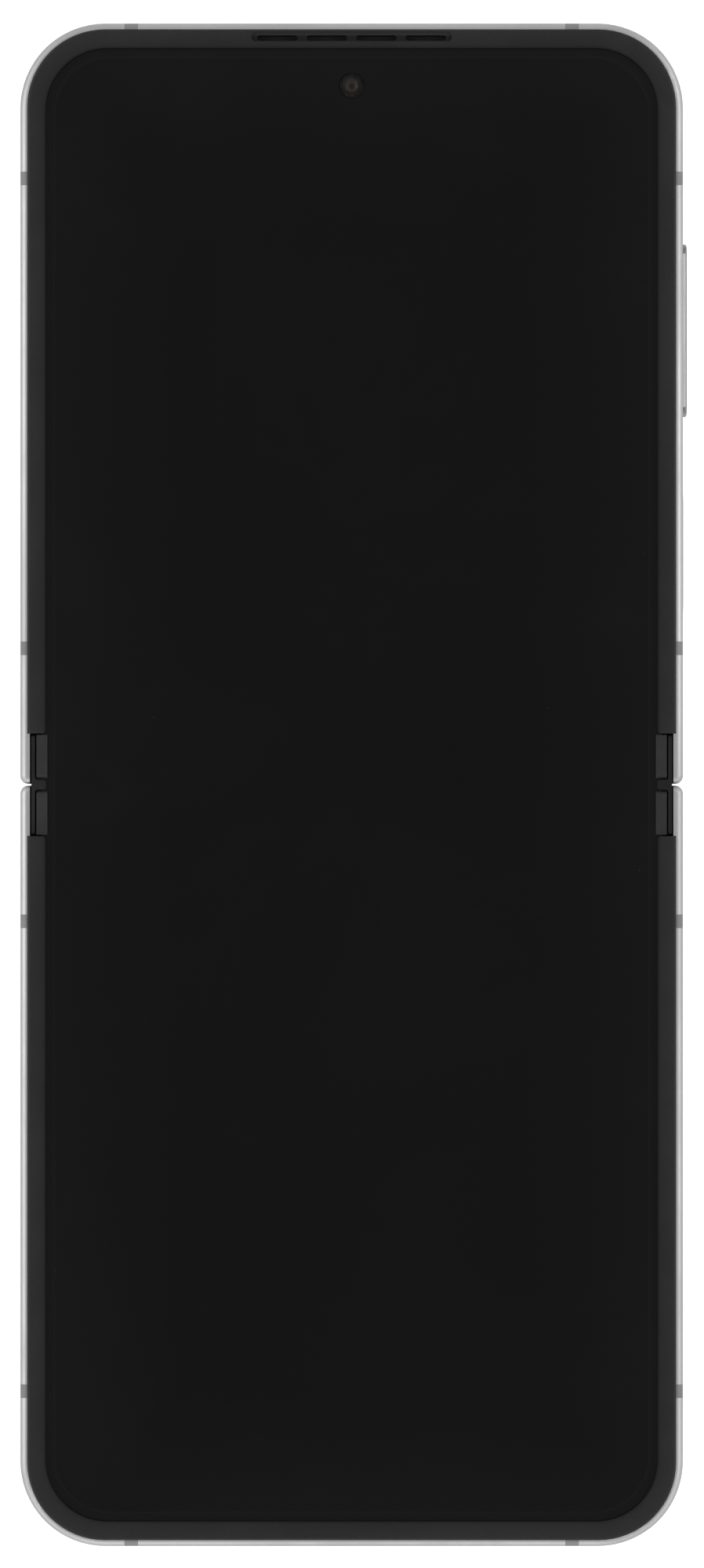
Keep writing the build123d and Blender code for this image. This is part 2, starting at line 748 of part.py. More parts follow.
with BuildPart() as hinge_brackets:
    with BuildSketch(Plane.YZ.offset(module_start)):
        add(spine_section(cover_bore - running_clearance, bracket_top))
    extrude(amount=module_end - module_start)
    # Bay of the friction discs
    with BuildSketch(Plane.YZ.offset(module_start + cheek)):
        gear_pocket(-outer_gear_y)
        gear_pocket(outer_gear_y)
    extrude(amount=friction_bay - cheek, mode=Mode.SUBTRACT)
    with BuildSketch(Plane.YZ.offset(upper_sector_plane)):
        gear_pocket(outer_gear_y)
        sector_pocket(axis_offset)
    extrude(amount=pocket_width, mode=Mode.SUBTRACT)
    with BuildSketch(Plane.YZ.offset(train_plane)):
        for centre in (-outer_gear_y, -inner_gear_y, inner_gear_y, outer_gear_y):
            gear_pocket(centre)
    extrude(amount=pocket_width, mode=Mode.SUBTRACT)
    with BuildSketch(Plane.YZ.offset(lower_sector_plane)):
        gear_pocket(-outer_gear_y)
        sector_pocket(-axis_offset)
    extrude(amount=pocket_width, mode=Mode.SUBTRACT)
    with BuildSketch(Plane.YZ.offset(upper_rail_plane)):
        rail_groove(axis_offset)
    extrude(amount=pocket_width, mode=Mode.SUBTRACT)
    with BuildSketch(Plane.YZ.offset(lower_rail_plane)):
        rail_groove(-axis_offset)
    extrude(amount=pocket_width, mode=Mode.SUBTRACT)
    # Bearing holes: the outer shafts run on through the friction bay, the inner ones are short
    with BuildSketch(Plane.YZ.offset(module_start)):
        with Locations((-outer_gear_y, gear_height), (outer_gear_y, gear_height)):
            Circle(shaft_radius + running_clearance)
    extrude(amount=upper_rail_plane - module_start, mode=Mode.SUBTRACT)
    with BuildSketch(Plane.YZ.offset(train_plane - cheek)):
        with Locations((-inner_gear_y, gear_height), (inner_gear_y, gear_height)):
            Circle(shaft_radius + running_clearance)
    extrude(amount=pocket_width + 2 * cheek, mode=Mode.SUBTRACT)
    # Lugs for the screws
    for place in lug_places:
        slab(
            place - lug_width / 2, place + lug_width / 2, -boss_radius, boss_radius,
            lug_boss_top, lug_boss_top + cheek,
        )
        with Locations((place, 0, lug_boss_top)):
            Cylinder(screw_hole_radius, 3 * cheek, mode=Mode.SUBTRACT)
    mirror(about=Plane.YZ)
hinge_brackets.part.label = "hinge_brackets"
export_step(hinge_brackets.part, "parts/hinge_brackets.step")


def screws(places, head_bottom, length):
    """Small flat-headed screws with a hexagon socket, heads up, at (x, y) places."""
    socket_depth = screw_head_height / 2
    with BuildPart() as group:
        with Locations(*[(x, y, head_bottom) for x, y in places]):
            Cylinder(
                screw_head_radius, screw_head_height, align=(Align.CENTER, Align.CENTER, Align.MIN)
            )
            Cylinder(
                screw_shank_radius, length - screw_head_height,
                align=(Align.CENTER, Align.CENTER, Align.MAX),
            )
        with BuildSketch(Plane.XY.offset(head_bottom + screw_head_height)):
            with Locations(*places):
                RegularPolygon(screw_head_radius / 2, 6)
        extrude(amount=-socket_depth, mode=Mode.SUBTRACT)
    return group.part


with BuildPart() as bracket_screws:
    spots = [(side * place, 0) for side in (-1, 1) for place in lug_places]
    add(screws(spots, lug_boss_top + cheek, bracket_screw_length))
bracket_screws.part.label = "bracket_screws"
export_step(bracket_screws.part, "parts/bracket_screws.step")

# ---------------------------------------------------------------- arms and synchronising gears


def hinge_arms(sector_at, rail_at, phase, direction):
    """Arms of one half: toothed sector, curved rail and the flat link that joins them to the half."""
    centre = direction * axis_offset
    first = min(sector_at, rail_at) + plane_gap
    last = max(sector_at, rail_at) + plane_gap + plane_width
    near = min(direction * link_start, direction * link_end)
    far = max(direction * link_start, direction * link_end)
    rail_outer = rail_inner_radius + rail_width
    with BuildPart() as arms:
        with BuildSketch(Plane.YZ.offset(sector_at + plane_gap)):
            add(sector_wheel(centre, phase, direction))
        extrude(amount=plane_width)
        with BuildSketch(Plane.YZ.offset(rail_at + plane_gap)):
            add(arc_band(centre, rail_inner_radius, rail_outer, rail_end_angle, direction))
        extrude(amount=plane_width)
        slab(first, last, near, far, link_bottom, deck_height)
        with Locations(*[(x, y, deck_height) for x, y in arm_screw_places(sector_at, rail_at, direction)]):
            Cylinder(screw_hole_radius, 4 * link_thickness, mode=Mode.SUBTRACT)
            Cylinder(screw_head_radius + screw_hole_gap, 2 * screw_head_height, mode=Mode.SUBTRACT)
        mirror(about=Plane.YZ)
    return arms.part


def arm_screw_places(sector_at, rail_at, direction):
    """Screw places of the right arm of one half."""
    first = min(sector_at, rail_at) + plane_gap + boss_radius
    last = max(sector_at, rail_at) + plane_gap + plane_width - boss_radius
    row = direction * (link_end - boss_radius)
    return [(first, row), (last, row)]


upper_arm_screws = arm_screw_places(upper_sector_plane, upper_rail_plane, 1)
lower_arm_screws = arm_screw_places(lower_sector_plane, lower_rail_plane, -1)

with BuildPart() as upper_hinge_arms:
    add(hinge_arms(upper_sector_plane, upper_rail_plane, upper_sector_phase, 1))
upper_hinge_arms.part.label = "upper_hinge_arms"
export_step(upper_hinge_arms.part, "parts/upper_hinge_arms.step")

with BuildPart() as lower_hinge_arms:
    add(hinge_arms(lower_sector_plane, lower_rail_plane, lower_sector_phase, -1))
lower_hinge_arms.part.label = "lower_hinge_arms"
export_step(lower_hinge_arms.part, "parts/lower_hinge_arms.step")


def outer_gears(centre_y, phase, sector_at):
    """Long shaft with two wheels: one in the train, one against its arm's sector."""
    with BuildPart() as gears:
        with BuildSketch(Plane.YZ.offset(module_start + plane_gap)):
            with Locations((centre_y, gear_height)):
                Circle(shaft_radius)
        extrude(amount=upper_rail_plane - module_start - 2 * plane_gap)
        for wheel_at in (sector_at, train_plane):
            with BuildSketch(Plane.YZ.offset(wheel_at + plane_gap)):
                add(pinion_wheel(centre_y, phase))
            extrude(amount=plane_width)
        mirror(about=Plane.YZ)
    return gears.part


def inner_gears(centre_y, phase):
    """Short shaft with one wheel in the train."""
    with BuildPart() as gears:
        with BuildSketch(Plane.YZ.offset(train_plane - cheek + plane_gap)):
            with Locations((centre_y, gear_height)):
                Circle(shaft_radius)
        extrude(amount=pocket_width + 2 * cheek - 2 * plane_gap)
        with BuildSketch(Plane.YZ.offset(train_plane + plane_gap)):
            add(pinion_wheel(centre_y, phase))
        extrude(amount=plane_width)
        mirror(about=Plane.YZ)
    return gears.part


with BuildPart() as upper_outer_gears:
    add(outer_gears(outer_gear_y, upper_outer_phase, upper_sector_plane))
upper_outer_gears.part.label = "upper_outer_gears"
export_step(upper_outer_gears.part, "parts/upper_outer_gears.step")

with BuildPart() as upper_inner_gears:
    add(inner_gears(inner_gear_y, upper_inner_phase))
upper_inner_gears.part.label = "upper_inner_gears"
export_step(upper_inner_gears.part, "parts/upper_inner_gears.step")

with BuildPart() as lower_inner_gears:
    add(inner_gears(-inner_gear_y, lower_inner_phase))
lower_inner_gears.part.label = "lower_inner_gears"
export_step(lower_inner_gears.part, "parts/lower_inner_gears.step")

with BuildPart() as lower_outer_gears:
    add(outer_gears(-outer_gear_y, lower_outer_phase, lower_sector_plane))
lower_outer_gears.part.label = "lower_outer_gears"
export_step(lower_outer_gears.part, "parts/lower_outer_gears.step")

with BuildPart() as friction_discs:
    stack = friction_disc_count * friction_disc_thickness
    with BuildSketch(Plane.YZ.offset(first_cheek - stack)):
        with Locations((-outer_gear_y, gear_height), (outer_gear_y, gear_height)):
            Circle(friction_disc_radius)
            Circle(shaft_radius + running_clearance, mode=Mode.SUBTRACT)
    extrude(amount=stack)
    # Narrow grooves between the discs of one stack
    for step in range(1, friction_disc_count):
        with BuildSketch(Plane.YZ.offset(first_cheek - step * friction_disc_thickness)):
            with Locations((-outer_gear_y, gear_height), (outer_gear_y, gear_height)):
                Circle(2 * friction_disc_radius)
                Circle(shaft_radius + friction_disc_thickness, mode=Mode.SUBTRACT)
        extrude(amount=friction_disc_thickness / 4, mode=Mode.SUBTRACT)
    mirror(about=Plane.YZ)
friction_discs.part.label = "friction_discs"
export_step(friction_discs.part, "parts/friction_discs.step")

# Two ribbons that carry the signals across the hinge, under the display
flex_level = bracket_top + link_gap + piece_gap
with BuildPart() as hinge_flex_cables:
    for side in (-1, 1):
        middle = side * flex_from_middle
        slab(
            middle - flex_width / 2, middle + flex_width / 2, -flex_reach, flex_reach,
            flex_level, flex_level + flex_thickness,
        )
        for end in (-1, 1):
            edge = end * flex_reach
            inner = edge - end * flex_thickness
            slab(
                middle - flex_width / 2, middle + flex_width / 2, min(edge, inner), max(edge, inner),
                board_top, flex_level,
            )
hinge_flex_cables.part.label = "hinge_flex_cables"
export_step(hinge_flex_cables.part, "parts/hinge_flex_cables.step")

# ---------------------------------------------------------------- plates under the display

board_half_width = cavity_half_width - battery_margin
upper_board_start = upper_battery_to + piece_gap
lower_board_start = lower_battery_to + piece_gap
board_screw_x = board_half_width - 3 * boss_radius
upper_board_screw_y = upper_board_start + boss_radius
lower_board_screw_y = lower_board_start + boss_radius


def midplate(arm_spots, board_screw_y, direction):
    """Plate under the display of the upper half, or mirrored for the lower one."""
    edges = [x for x, y in arm_spots]
    pad_start = min(edges) - boss_radius - screw_hole_gap
    pad_end = max(edges) + boss_radius + screw_hole_gap
    with BuildPart() as plate:
        with BuildSketch(Plane.XY.offset(midplate_bottom)):
            add(half_plan(wall_thickness, wall_thickness, bay_end, corner_radius - wall_thickness))
        extrude(amount=midplate_thickness)
        # Wall that closes the hinge bay off
        slab(
            -cavity_half_width, cavity_half_width, bay_end, bay_end + midplate_thickness,
            fold_bar_thickness, midplate_bottom,
        )
        for side in (-1, 1):
            # Pad and blind hole for a screw of the circuit board
            with Locations((side * board_screw_x, board_screw_y, board_top)):
                Cylinder(
                    boss_radius, midplate_thickness / 2 + midplate_bottom - board_top,
                    align=(Align.CENTER, Align.CENTER, Align.MIN),
                )
                Cylinder(
                    screw_hole_radius, board_screw_length - screw_head_height - board_thickness,
                    align=(Align.CENTER, Align.CENTER, Align.MIN), mode=Mode.SUBTRACT,
                )
            with Locations(*[(side * x, abs(y), link_bottom) for x, y in arm_spots]):
                Cylinder(
                    boss_radius, hinge_screw_length, align=(Align.CENTER, Align.CENTER, Align.MAX)
                )
            slab(
                min(side * pad_start, side * pad_end), max(side * pad_start, side * pad_end),
                0, link_end + screw_hole_gap, link_bottom, 2 * deck_height, mode=Mode.SUBTRACT,
            )
            with Locations(*[(side * x, abs(y), link_bottom) for x, y in arm_spots]):
                Cylinder(
                    screw_hole_radius, hinge_screw_length, mode=Mode.SUBTRACT,
                    align=(Align.CENTER, Align.CENTER, Align.MAX),
                )
            # Slot for a ribbon
            middle = side * flex_from_middle
            slab(
                middle - flex_width / 2 - piece_gap, middle + flex_width / 2 + piece_gap,
                0, flex_reach + piece_gap, flex_level - flex_thickness, 2 * deck_height, mode=Mode.SUBTRACT,
            )
            slab(
                middle - flex_width / 2 - piece_gap, middle + flex_width / 2 + piece_gap,
                flex_reach - piece_gap - flex_thickness, flex_reach + piece_gap,
                0, 2 * deck_height, mode=Mode.SUBTRACT,
            )
    if direction < 0:
        return mirror(plate.part, about=Plane.XZ)
    return plate.part


with BuildPart() as upper_midplate:
    add(midplate(upper_arm_screws, upper_board_screw_y, 1))
    with Locations((0, front_camera_y, deck_height)):
        Cylinder(front_camera_radius + piece_gap, 4 * midplate_thickness, mode=Mode.SUBTRACT)
upper_midplate.part.label = "upper_midplate"
export_step(upper_midplate.part, "parts/upper_midplate.step")

with BuildPart() as lower_midplate:
    add(midplate(lower_arm_screws, lower_board_screw_y, -1))
lower_midplate.part.label = "lower_midplate"
export_step(lower_midplate.part, "parts/lower_midplate.step")

with BuildPart() as upper_hinge_screws:
    spots = [(side * x, y) for side in (-1, 1) for x, y in upper_arm_screws]
    add(screws(spots, deck_height - screw_head_height, hinge_screw_length))
upper_hinge_screws.part.label = "upper_hinge_screws"
export_step(upper_hinge_screws.part, "parts/upper_hinge_screws.step")

with BuildPart() as lower_hinge_screws:
    spots = [(side * x, y) for side in (-1, 1) for x, y in lower_arm_screws]
    add(screws(spots, deck_height - screw_head_height, hinge_screw_length))
lower_hinge_screws.part.label = "lower_hinge_screws"
export_step(lower_hinge_screws.part, "parts/lower_hinge_screws.step")

# ---------------------------------------------------------------- batteries, ribbons and cover display

battery_half_width = cavity_half_width - battery_margin
battery_start = link_end + piece_gap
battery_top = board_top


def battery(far_end):
    """Pouch cell of the upper half, from the hinge screws to far_end."""
    with BuildPart() as cell:
        slab(
            -battery_half_width, battery_half_width, battery_start, far_end,
            battery_bottom, battery_top - flex_thickness,
        )
        fillet(cell.edges().filter_by(Axis.Z), battery_round)
        fillet(cell.faces().sort_by(Axis.Z)[0].edges(), battery_round / 2)
    return cell.part


def board_flex(far_end):
    """Ribbons along the top of the battery of the upper half."""
    with BuildPart() as ribbons:
        for side in (-1, 1):
            middle = side * flex_from_middle
            slab(
                middle - flex_width / 2, middle + flex_width / 2, flex_reach, far_end,
                battery_top - flex_thickness, battery_top,
            )
    return ribbons.part


with BuildPart() as upper_battery:
    add(battery(upper_battery_to))
upper_battery.part.label = "upper_battery"
export_step(upper_battery.part, "parts/upper_battery.step")

with BuildPart() as lower_battery:
    add(mirror(battery(lower_battery_to), about=Plane.XZ))
lower_battery.part.label = "lower_battery"
export_step(lower_battery.part, "parts/lower_battery.step")

with BuildPart() as upper_ribbons:
    add(board_flex(upper_board_start))
upper_ribbons.part.label = "upper_ribbons"
export_step(upper_ribbons.part, "parts/upper_ribbons.step")

with BuildPart() as lower_ribbons:
    add(mirror(board_flex(lower_board_start), about=Plane.XZ))
lower_ribbons.part.label = "lower_ribbons"
export_step(lower_ribbons.part, "parts/lower_ribbons.step")

with BuildPart() as cover_display:
    slab(
        -half_width + glass_inset + cover_display_margin, half_width - glass_inset - cover_display_margin,
        bay_end + midplate_thickness + piece_gap, camera_y - main_camera_size / 2 - cover_display_gap,
        glass_thickness, glass_thickness + cover_display_thickness,
    )
    fillet(cover_display.edges().filter_by(Axis.Z), battery_round)
cover_display.part.label = "cover_display"
export_step(cover_display.part, "parts/cover_display.step")

coil_from_fold = (battery_start + lower_battery_to) / 2
with BuildPart() as charging_coil:
    with BuildSketch(Plane.XY.offset(glass_thickness)):
        with Locations((0, -coil_from_fold)):
            Circle(coil_outer_radius)
            Circle(coil_inner_radius, mode=Mode.SUBTRACT)
        with Locations((0, -lower_board_start)):
            Rectangle(
                coil_inner_radius / 2, lower_board_start - coil_from_fold - coil_inner_radius,
                align=(Align.CENTER, Align.MIN),
            )
    extrude(amount=coil_thickness)
charging_coil.part.label = "charging_coil"
export_step(charging_coil.part, "parts/charging_coil.step")

# ---------------------------------------------------------------- upper half: board, cameras, earpiece

board_end = camera_y - main_camera_size / 2 - piece_gap
camera_body_bottom = glass_thickness + camera_glass_thickness


with BuildPart() as main_board:
    slab(
        -board_half_width, board_half_width, upper_board_start, board_end, board_bottom, board_top
    )
    slab(
        -board_half_width + corner_radius, -earpiece_speaker_width, board_end, camera_y,
        board_bottom, board_top,
    )
    for side in (-1, 1):
        with Locations((side * board_screw_x, upper_board_screw_y, board_top)):
            Cylinder(screw_hole_radius, 3 * board_thickness, mode=Mode.SUBTRACT)
main_board.part.label = "main_board"
export_step(main_board.part, "parts/main_board.step")


def board_screws(y):
    """Two screws through a circuit board, heads down."""
    group = screws([(-board_screw_x, y), (board_screw_x, y)], board_bottom, board_screw_length)
    return mirror(group, about=Plane.XY.offset(board_bottom))


with BuildPart() as main_board_screws:
    add(board_screws(upper_board_screw_y))
main_board_screws.part.label = "main_board_screws"
export_step(main_board_screws.part, "parts/main_board_screws.step")

# Metal cans soldered under the board, open towards it
with BuildPart() as board_shields:
    with Locations((-shield_width / 2 - piece_gap, tray_from_fold, board_bottom)):
        Box(shield_width, shield_length, shield_height, align=(Align.CENTER, Align.CENTER, Align.MAX))
    with Locations((shield_width / 2 + piece_gap, tray_from_fold, board_bottom)):
        Box(shield_width, shield_length, shield_height, align=(Align.CENTER, Align.CENTER, Align.MAX))
    for side in (-1, 1):
        with Locations((side * (shield_width / 2 + piece_gap), tray_from_fold, board_bottom)):
            Box(
                shield_width - 2 * reader_wall, shield_length - 2 * reader_wall,
                shield_height - reader_wall, align=(Align.CENTER, Align.CENTER, Align.MAX),
                mode=Mode.SUBTRACT,
            )
board_shields.part.label = "board_shields"
export_step(board_shields.part, "parts/board_shields.step")

with BuildPart() as front_camera:
    slab(
        -front_camera_body / 2, front_camera_body / 2,
        front_camera_y - front_camera_body / 2, front_camera_y + front_camera_body / 2,
        tray_bottom, midplate_bottom,
    )
    with Locations((0, front_camera_y, midplate_bottom)):
        Cylinder(
            front_camera_radius - running_clearance, display_top - front_camera_sunk - midplate_bottom,
            align=(Align.CENTER, Align.CENTER, Align.MIN),
        )
front_camera.part.label = "front_camera"
export_step(front_camera.part, "parts/front_camera.step")

earpiece_speaker_x = -front_camera_body / 2 - piece_gap - earpiece_speaker_length / 2
earpiece_speaker_y = cavity_end - piece_gap - earpiece_speaker_width / 2
with BuildPart() as earpiece_speaker:
    with Locations((earpiece_speaker_x, earpiece_speaker_y, midplate_bottom)):
        Box(
            earpiece_speaker_length, earpiece_speaker_width, earpiece_speaker_height,
            align=(Align.CENTER, Align.CENTER, Align.MAX),
        )
    fillet(earpiece_speaker.edges().filter_by(Axis.Z), piece_gap)
earpiece_speaker.part.label = "earpiece_speaker"
export_step(earpiece_speaker.part, "parts/earpiece_speaker.step")

with BuildPart() as earpiece_mesh:
    slab(
        -earpiece_width / 2, earpiece_width / 2, cavity_end, slot_y + slot_width - running_clearance,
        deck_height - plate_thickness, deck_height,
    )
earpiece_mesh.part.label = "earpiece_mesh"
export_step(earpiece_mesh.part, "parts/earpiece_mesh.step")


def rear_camera(place, size):
    """Square camera module with a round lens barrel towards the back."""
    with BuildPart() as module:
        with Locations((place[0], place[1], camera_body_bottom)):
            Box(size, size, board_top - camera_body_bottom, align=(Align.CENTER, Align.CENTER, Align.MIN))
            Cylinder(
                camera_lens_radius + camera_ring_width, 2 * (camera_body_bottom - camera_glass_thickness),
                align=(Align.CENTER, Align.CENTER, Align.CENTER),
            )
    return module.part


with BuildPart() as main_camera:
    add(rear_camera(camera_places[0], main_camera_size))
main_camera.part.label = "main_camera"
export_step(main_camera.part, "parts/main_camera.step")

with BuildPart() as wide_camera:
    add(rear_camera(camera_places[1], wide_camera_size))
wide_camera.part.label = "wide_camera"
export_step(wide_camera.part, "parts/wide_camera.step")

ring_bore = camera_ring_radius - camera_ring_width
with BuildPart() as camera_rings:
    with Locations(*[(x, y, -camera_ring_proud) for x, y in camera_places]):
        Cylinder(camera_ring_radius, camera_ring_proud, align=(Align.CENTER, Align.CENTER, Align.MIN))
    fillet(camera_rings.faces().sort_by(Axis.Z)[:2].edges(), camera_ring_proud / 3)
    with Locations(*camera_places):
        Cylinder(
            camera_ring_radius - camera_ring_width / 2 - running_clearance, glass_thickness,
            align=(Align.CENTER, Align.CENTER, Align.MIN),
        )
        Cylinder(ring_bore, 4 * glass_thickness, mode=Mode.SUBTRACT)
camera_rings.part.label = "camera_rings"
export_step(camera_rings.part, "parts/camera_rings.step")

with BuildPart() as camera_glasses:
    with Locations(*[(x, y, -camera_ring_proud / 2) for x, y in camera_places]):
        Cylinder(
            ring_bore - running_clearance / 2, camera_glass_thickness,
            align=(Align.CENTER, Align.CENTER, Align.MIN),
        )
camera_glasses.part.label = "camera_glasses"
export_step(camera_glasses.part, "parts/camera_glasses.step")

with BuildPart() as flash_led:
    with Locations((flash_place[0], flash_place[1], running_clearance)):
        Cylinder(
            flash_radius - running_clearance, camera_body_bottom,
            align=(Align.CENTER, Align.CENTER, Align.MIN),
        )
    with Locations((flash_place[0], flash_place[1], camera_body_bottom)):
        Box(
            2 * flash_radius, 2 * flash_radius, board_bottom - camera_body_bottom,
            align=(Align.CENTER, Align.CENTER, Align.MIN),
        )
flash_led.part.label = "flash_led"
export_step(flash_led.part, "parts/flash_led.step")

# ---------------------------------------------------------------- keys

key_face = cavity_half_width - running_clearance
key_flange_thickness = switch_thickness
volume_flange_face = key_face - key_travel - running_clearance
power_flange_bottom = key_face - key_flange_thickness
switch_top = power_flange_bottom - key_travel - running_clearance
switch_base = switch_top - switch_thickness


def key_bar(middle, length, height, x_low, x_high, mode=Mode.ADD):
    """Round-ended bar along the right edge, between two X limits."""
    with BuildPart(mode=Mode.PRIVATE) as bar:
        with BuildSketch(Plane.YZ.offset(x_low)):
            with Locations((middle, key_middle_height)):
                SlotOverall(length, height)
        extrude(amount=x_high - x_low)
    return bar.part


with BuildPart() as volume_key:
    add(
        key_bar(
            volume_key_middle, volume_key_length, key_height,
            volume_flange_face, half_width + volume_key_proud,
        )
    )
    fillet(volume_key.faces().sort_by(Axis.X)[-1].edges(), volume_key_proud / 2)
    flange_length = volume_key_length + 2 * key_flange_overlap
    flange_height = key_height + 2 * key_flange_overlap
    add(
        key_bar(
            volume_key_middle, flange_length, flange_height,
            power_flange_bottom, volume_flange_face,
        )
    )
    # Fulcrum that the key rocks on, bearing on the inside of the wall
    slab(
        volume_flange_face, key_face, volume_key_middle - screw_head_radius,
        volume_key_middle + screw_head_radius,
        key_middle_height - flange_height / 2, key_middle_height + flange_height / 2,
    )
volume_key.part.label = "volume_key"
export_step(volume_key.part, "parts/volume_key.step")

with BuildPart() as power_key:
    add(
        key_bar(
            power_key_middle, power_key_length, key_height,
            power_flange_bottom, half_width + power_key_proud,
        )
    )
    fillet(power_key.faces().sort_by(Axis.X)[-1].edges(), power_key_proud)
    add(
        key_bar(
            power_key_middle, power_key_length + 2 * key_flange_overlap,
            key_height + 2 * key_flange_overlap, power_flange_bottom, key_face,
        )
    )
    add(
        key_bar(
            power_key_middle, power_key_length - 2 * sensor_margin, key_height - 2 * sensor_margin,
            half_width + power_key_proud - sensor_thickness, 2 * half_width,
        ),
        mode=Mode.SUBTRACT,
    )
power_key.part.label = "power_key"
export_step(power_key.part, "parts/power_key.step")

with BuildPart() as fingerprint_sensor:
    add(
        key_bar(
            power_key_middle, power_key_length - 2 * sensor_margin, key_height - 2 * sensor_margin,
            half_width + power_key_proud - sensor_thickness, half_width + power_key_proud,
        )
    )
fingerprint_sensor.part.label = "fingerprint_sensor"
export_step(fingerprint_sensor.part, "parts/fingerprint_sensor.step")

with BuildPart() as key_switches:
    slab(
        battery_half_width + running_clearance, switch_base,
        power_key_middle - power_key_length / 2, volume_key_middle + volume_key_length / 2,
        key_middle_height - switch_radius, key_middle_height + switch_radius,
    )
    with BuildSketch(Plane.YZ.offset(switch_base)):
        with Locations(
            (volume_key_middle - switch_spacing, key_middle_height),
            (volume_key_middle + switch_spacing, key_middle_height),
            (power_key_middle, key_middle_height),
        ):
            Circle(switch_radius)
    extrude(amount=switch_thickness)
key_switches.part.label = "key_switches"
export_step(key_switches.part, "parts/key_switches.step")

# ---------------------------------------------------------------- card tray

tray_low = tray_from_fold - tray_length / 2
tray_high = tray_from_fold + tray_length / 2
tray_end_x = -half_width + tray_depth

with BuildPart() as sim_tray:
    slab(
        -half_width, -half_width + tray_head_depth, tray_low, tray_high,
        tray_height - tray_head_height / 2, tray_height + tray_head_height / 2,
    )
    fillet(sim_tray.edges().filter_by(Axis.X), tray_head_round)
    with Locations((-half_width, tray_high - tray_head_height, tray_height)):
        Cylinder(pin_hole_radius, 3 * tray_head_depth, rotation=(0, 90, 0), mode=Mode.SUBTRACT)
    slab(
        -half_width + tray_head_depth, tray_end_x, tray_low + tray_plate, tray_high - tray_plate,
        tray_bottom, tray_bottom + tray_plate,
    )
    pocket_x = (-half_width + tray_head_depth + tray_end_x) / 2
    with BuildSketch(Plane.XY.offset(tray_bottom + card_floor)):
        with Locations((pocket_x, tray_from_fold)):
            Rectangle(card_width, card_length)
            # Bevelled corner that keeps the card the right way round
            with Locations((card_width / 2, card_length / 2)):
                Rectangle(3 * card_corner, 3 * card_corner, rotation=45, mode=Mode.SUBTRACT)
    extrude(amount=2 * tray_plate, mode=Mode.SUBTRACT)
sim_tray.part.label = "sim_tray"
export_step(sim_tray.part, "parts/sim_tray.step")

with BuildPart() as card_reader:
    reader_low = tray_low + tray_plate - reader_play
    reader_high = tray_high - tray_plate + reader_play
    slab(
        -cavity_half_width + running_clearance, tray_end_x + reader_play + reader_wall,
        reader_low - reader_wall, reader_high + reader_wall,
        tray_bottom - reader_play - reader_wall, board_bottom,
    )
    slab(
        -2 * half_width, tray_end_x + reader_play, reader_low, reader_high,
        tray_bottom - reader_play, board_bottom - reader_wall, mode=Mode.SUBTRACT,
    )
card_reader.part.label = "card_reader"
export_step(card_reader.part, "parts/card_reader.step")

# ---------------------------------------------------------------- lower half: board, socket, speaker, motor

with BuildPart() as sub_board:
    slab(
        -board_half_width, board_half_width, -cavity_end + corner_radius, -lower_board_start,
        board_bottom, board_top,
    )
    slab(
        -board_half_width + corner_radius, board_half_width - corner_radius,
        -cavity_end + piece_gap, -cavity_end + corner_radius, board_bottom, board_top,
    )
    slab(
        -usb_width / 2 - piece_gap, usb_width / 2 + piece_gap,
        -half_length, -half_length + usb_depth + piece_gap, board_bottom, 2 * board_top,
        mode=Mode.SUBTRACT,
    )
    for side in (-1, 1):
        with Locations((side * board_screw_x, -lower_board_screw_y, board_top)):
            Cylinder(screw_hole_radius, 3 * board_thickness, mode=Mode.SUBTRACT)
sub_board.part.label = "sub_board"
export_step(sub_board.part, "parts/sub_board.step")

with BuildPart() as sub_board_screws:
    add(board_screws(-lower_board_screw_y))
sub_board_screws.part.label = "sub_board_screws"
export_step(sub_board_screws.part, "parts/sub_board_screws.step")

usb_back = -half_length + usb_depth
with BuildPart() as usb_c_port:
    with BuildSketch(Plane.XZ.offset(-usb_back)):
        with Locations((0, usb_middle_height)):
            SlotOverall(usb_width - 2 * usb_outer_gap, usb_height - 2 * usb_outer_gap)
    extrude(amount=usb_depth - piece_gap)
    with BuildSketch(Plane.XZ.offset(-usb_back)):
        with Locations((0, usb_middle_height)):
            SlotOverall(usb_inner_width, usb_inner_height)
    extrude(amount=usb_depth, mode=Mode.SUBTRACT)
    slab(
        -usb_inner_width / 2, usb_inner_width / 2, usb_back - reader_wall, usb_back,
        usb_middle_height - usb_inner_height / 2, usb_middle_height + usb_inner_height / 2,
    )
    # Contact tongue in the middle of the shell
    slab(
        -usb_tongue_width / 2, usb_tongue_width / 2, usb_back - reader_wall - usb_tongue_length, usb_back,
        usb_middle_height - usb_tongue_height / 2, usb_middle_height + usb_tongue_height / 2,
    )
usb_c_port.part.label = "usb_c_port"
export_step(usb_c_port.part, "parts/usb_c_port.step")

loudspeaker_x = usb_width / 2 + piece_gap + loudspeaker_length / 2
loudspeaker_y = -cavity_end + piece_gap + loudspeaker_width / 2
with BuildPart() as loudspeaker:
    with Locations((loudspeaker_x, loudspeaker_y, board_bottom)):
        Box(
            loudspeaker_length, loudspeaker_width, loudspeaker_height,
            align=(Align.CENTER, Align.CENTER, Align.MAX),
        )
    fillet(loudspeaker.edges().filter_by(Axis.Z), piece_gap)
loudspeaker.part.label = "loudspeaker"
export_step(loudspeaker.part, "parts/loudspeaker.step")

motor_x = -microphone_from_middle - microphone_size - motor_length / 2
with BuildPart() as vibration_motor:
    with Locations((motor_x, loudspeaker_y, board_bottom)):
        Box(
            motor_length, motor_width, motor_height, align=(Align.CENTER, Align.CENTER, Align.MAX)
        )
    fillet(vibration_motor.edges().filter_by(Axis.Z), 2 * piece_gap)
vibration_motor.part.label = "vibration_motor"
export_step(vibration_motor.part, "parts/vibration_motor.step")

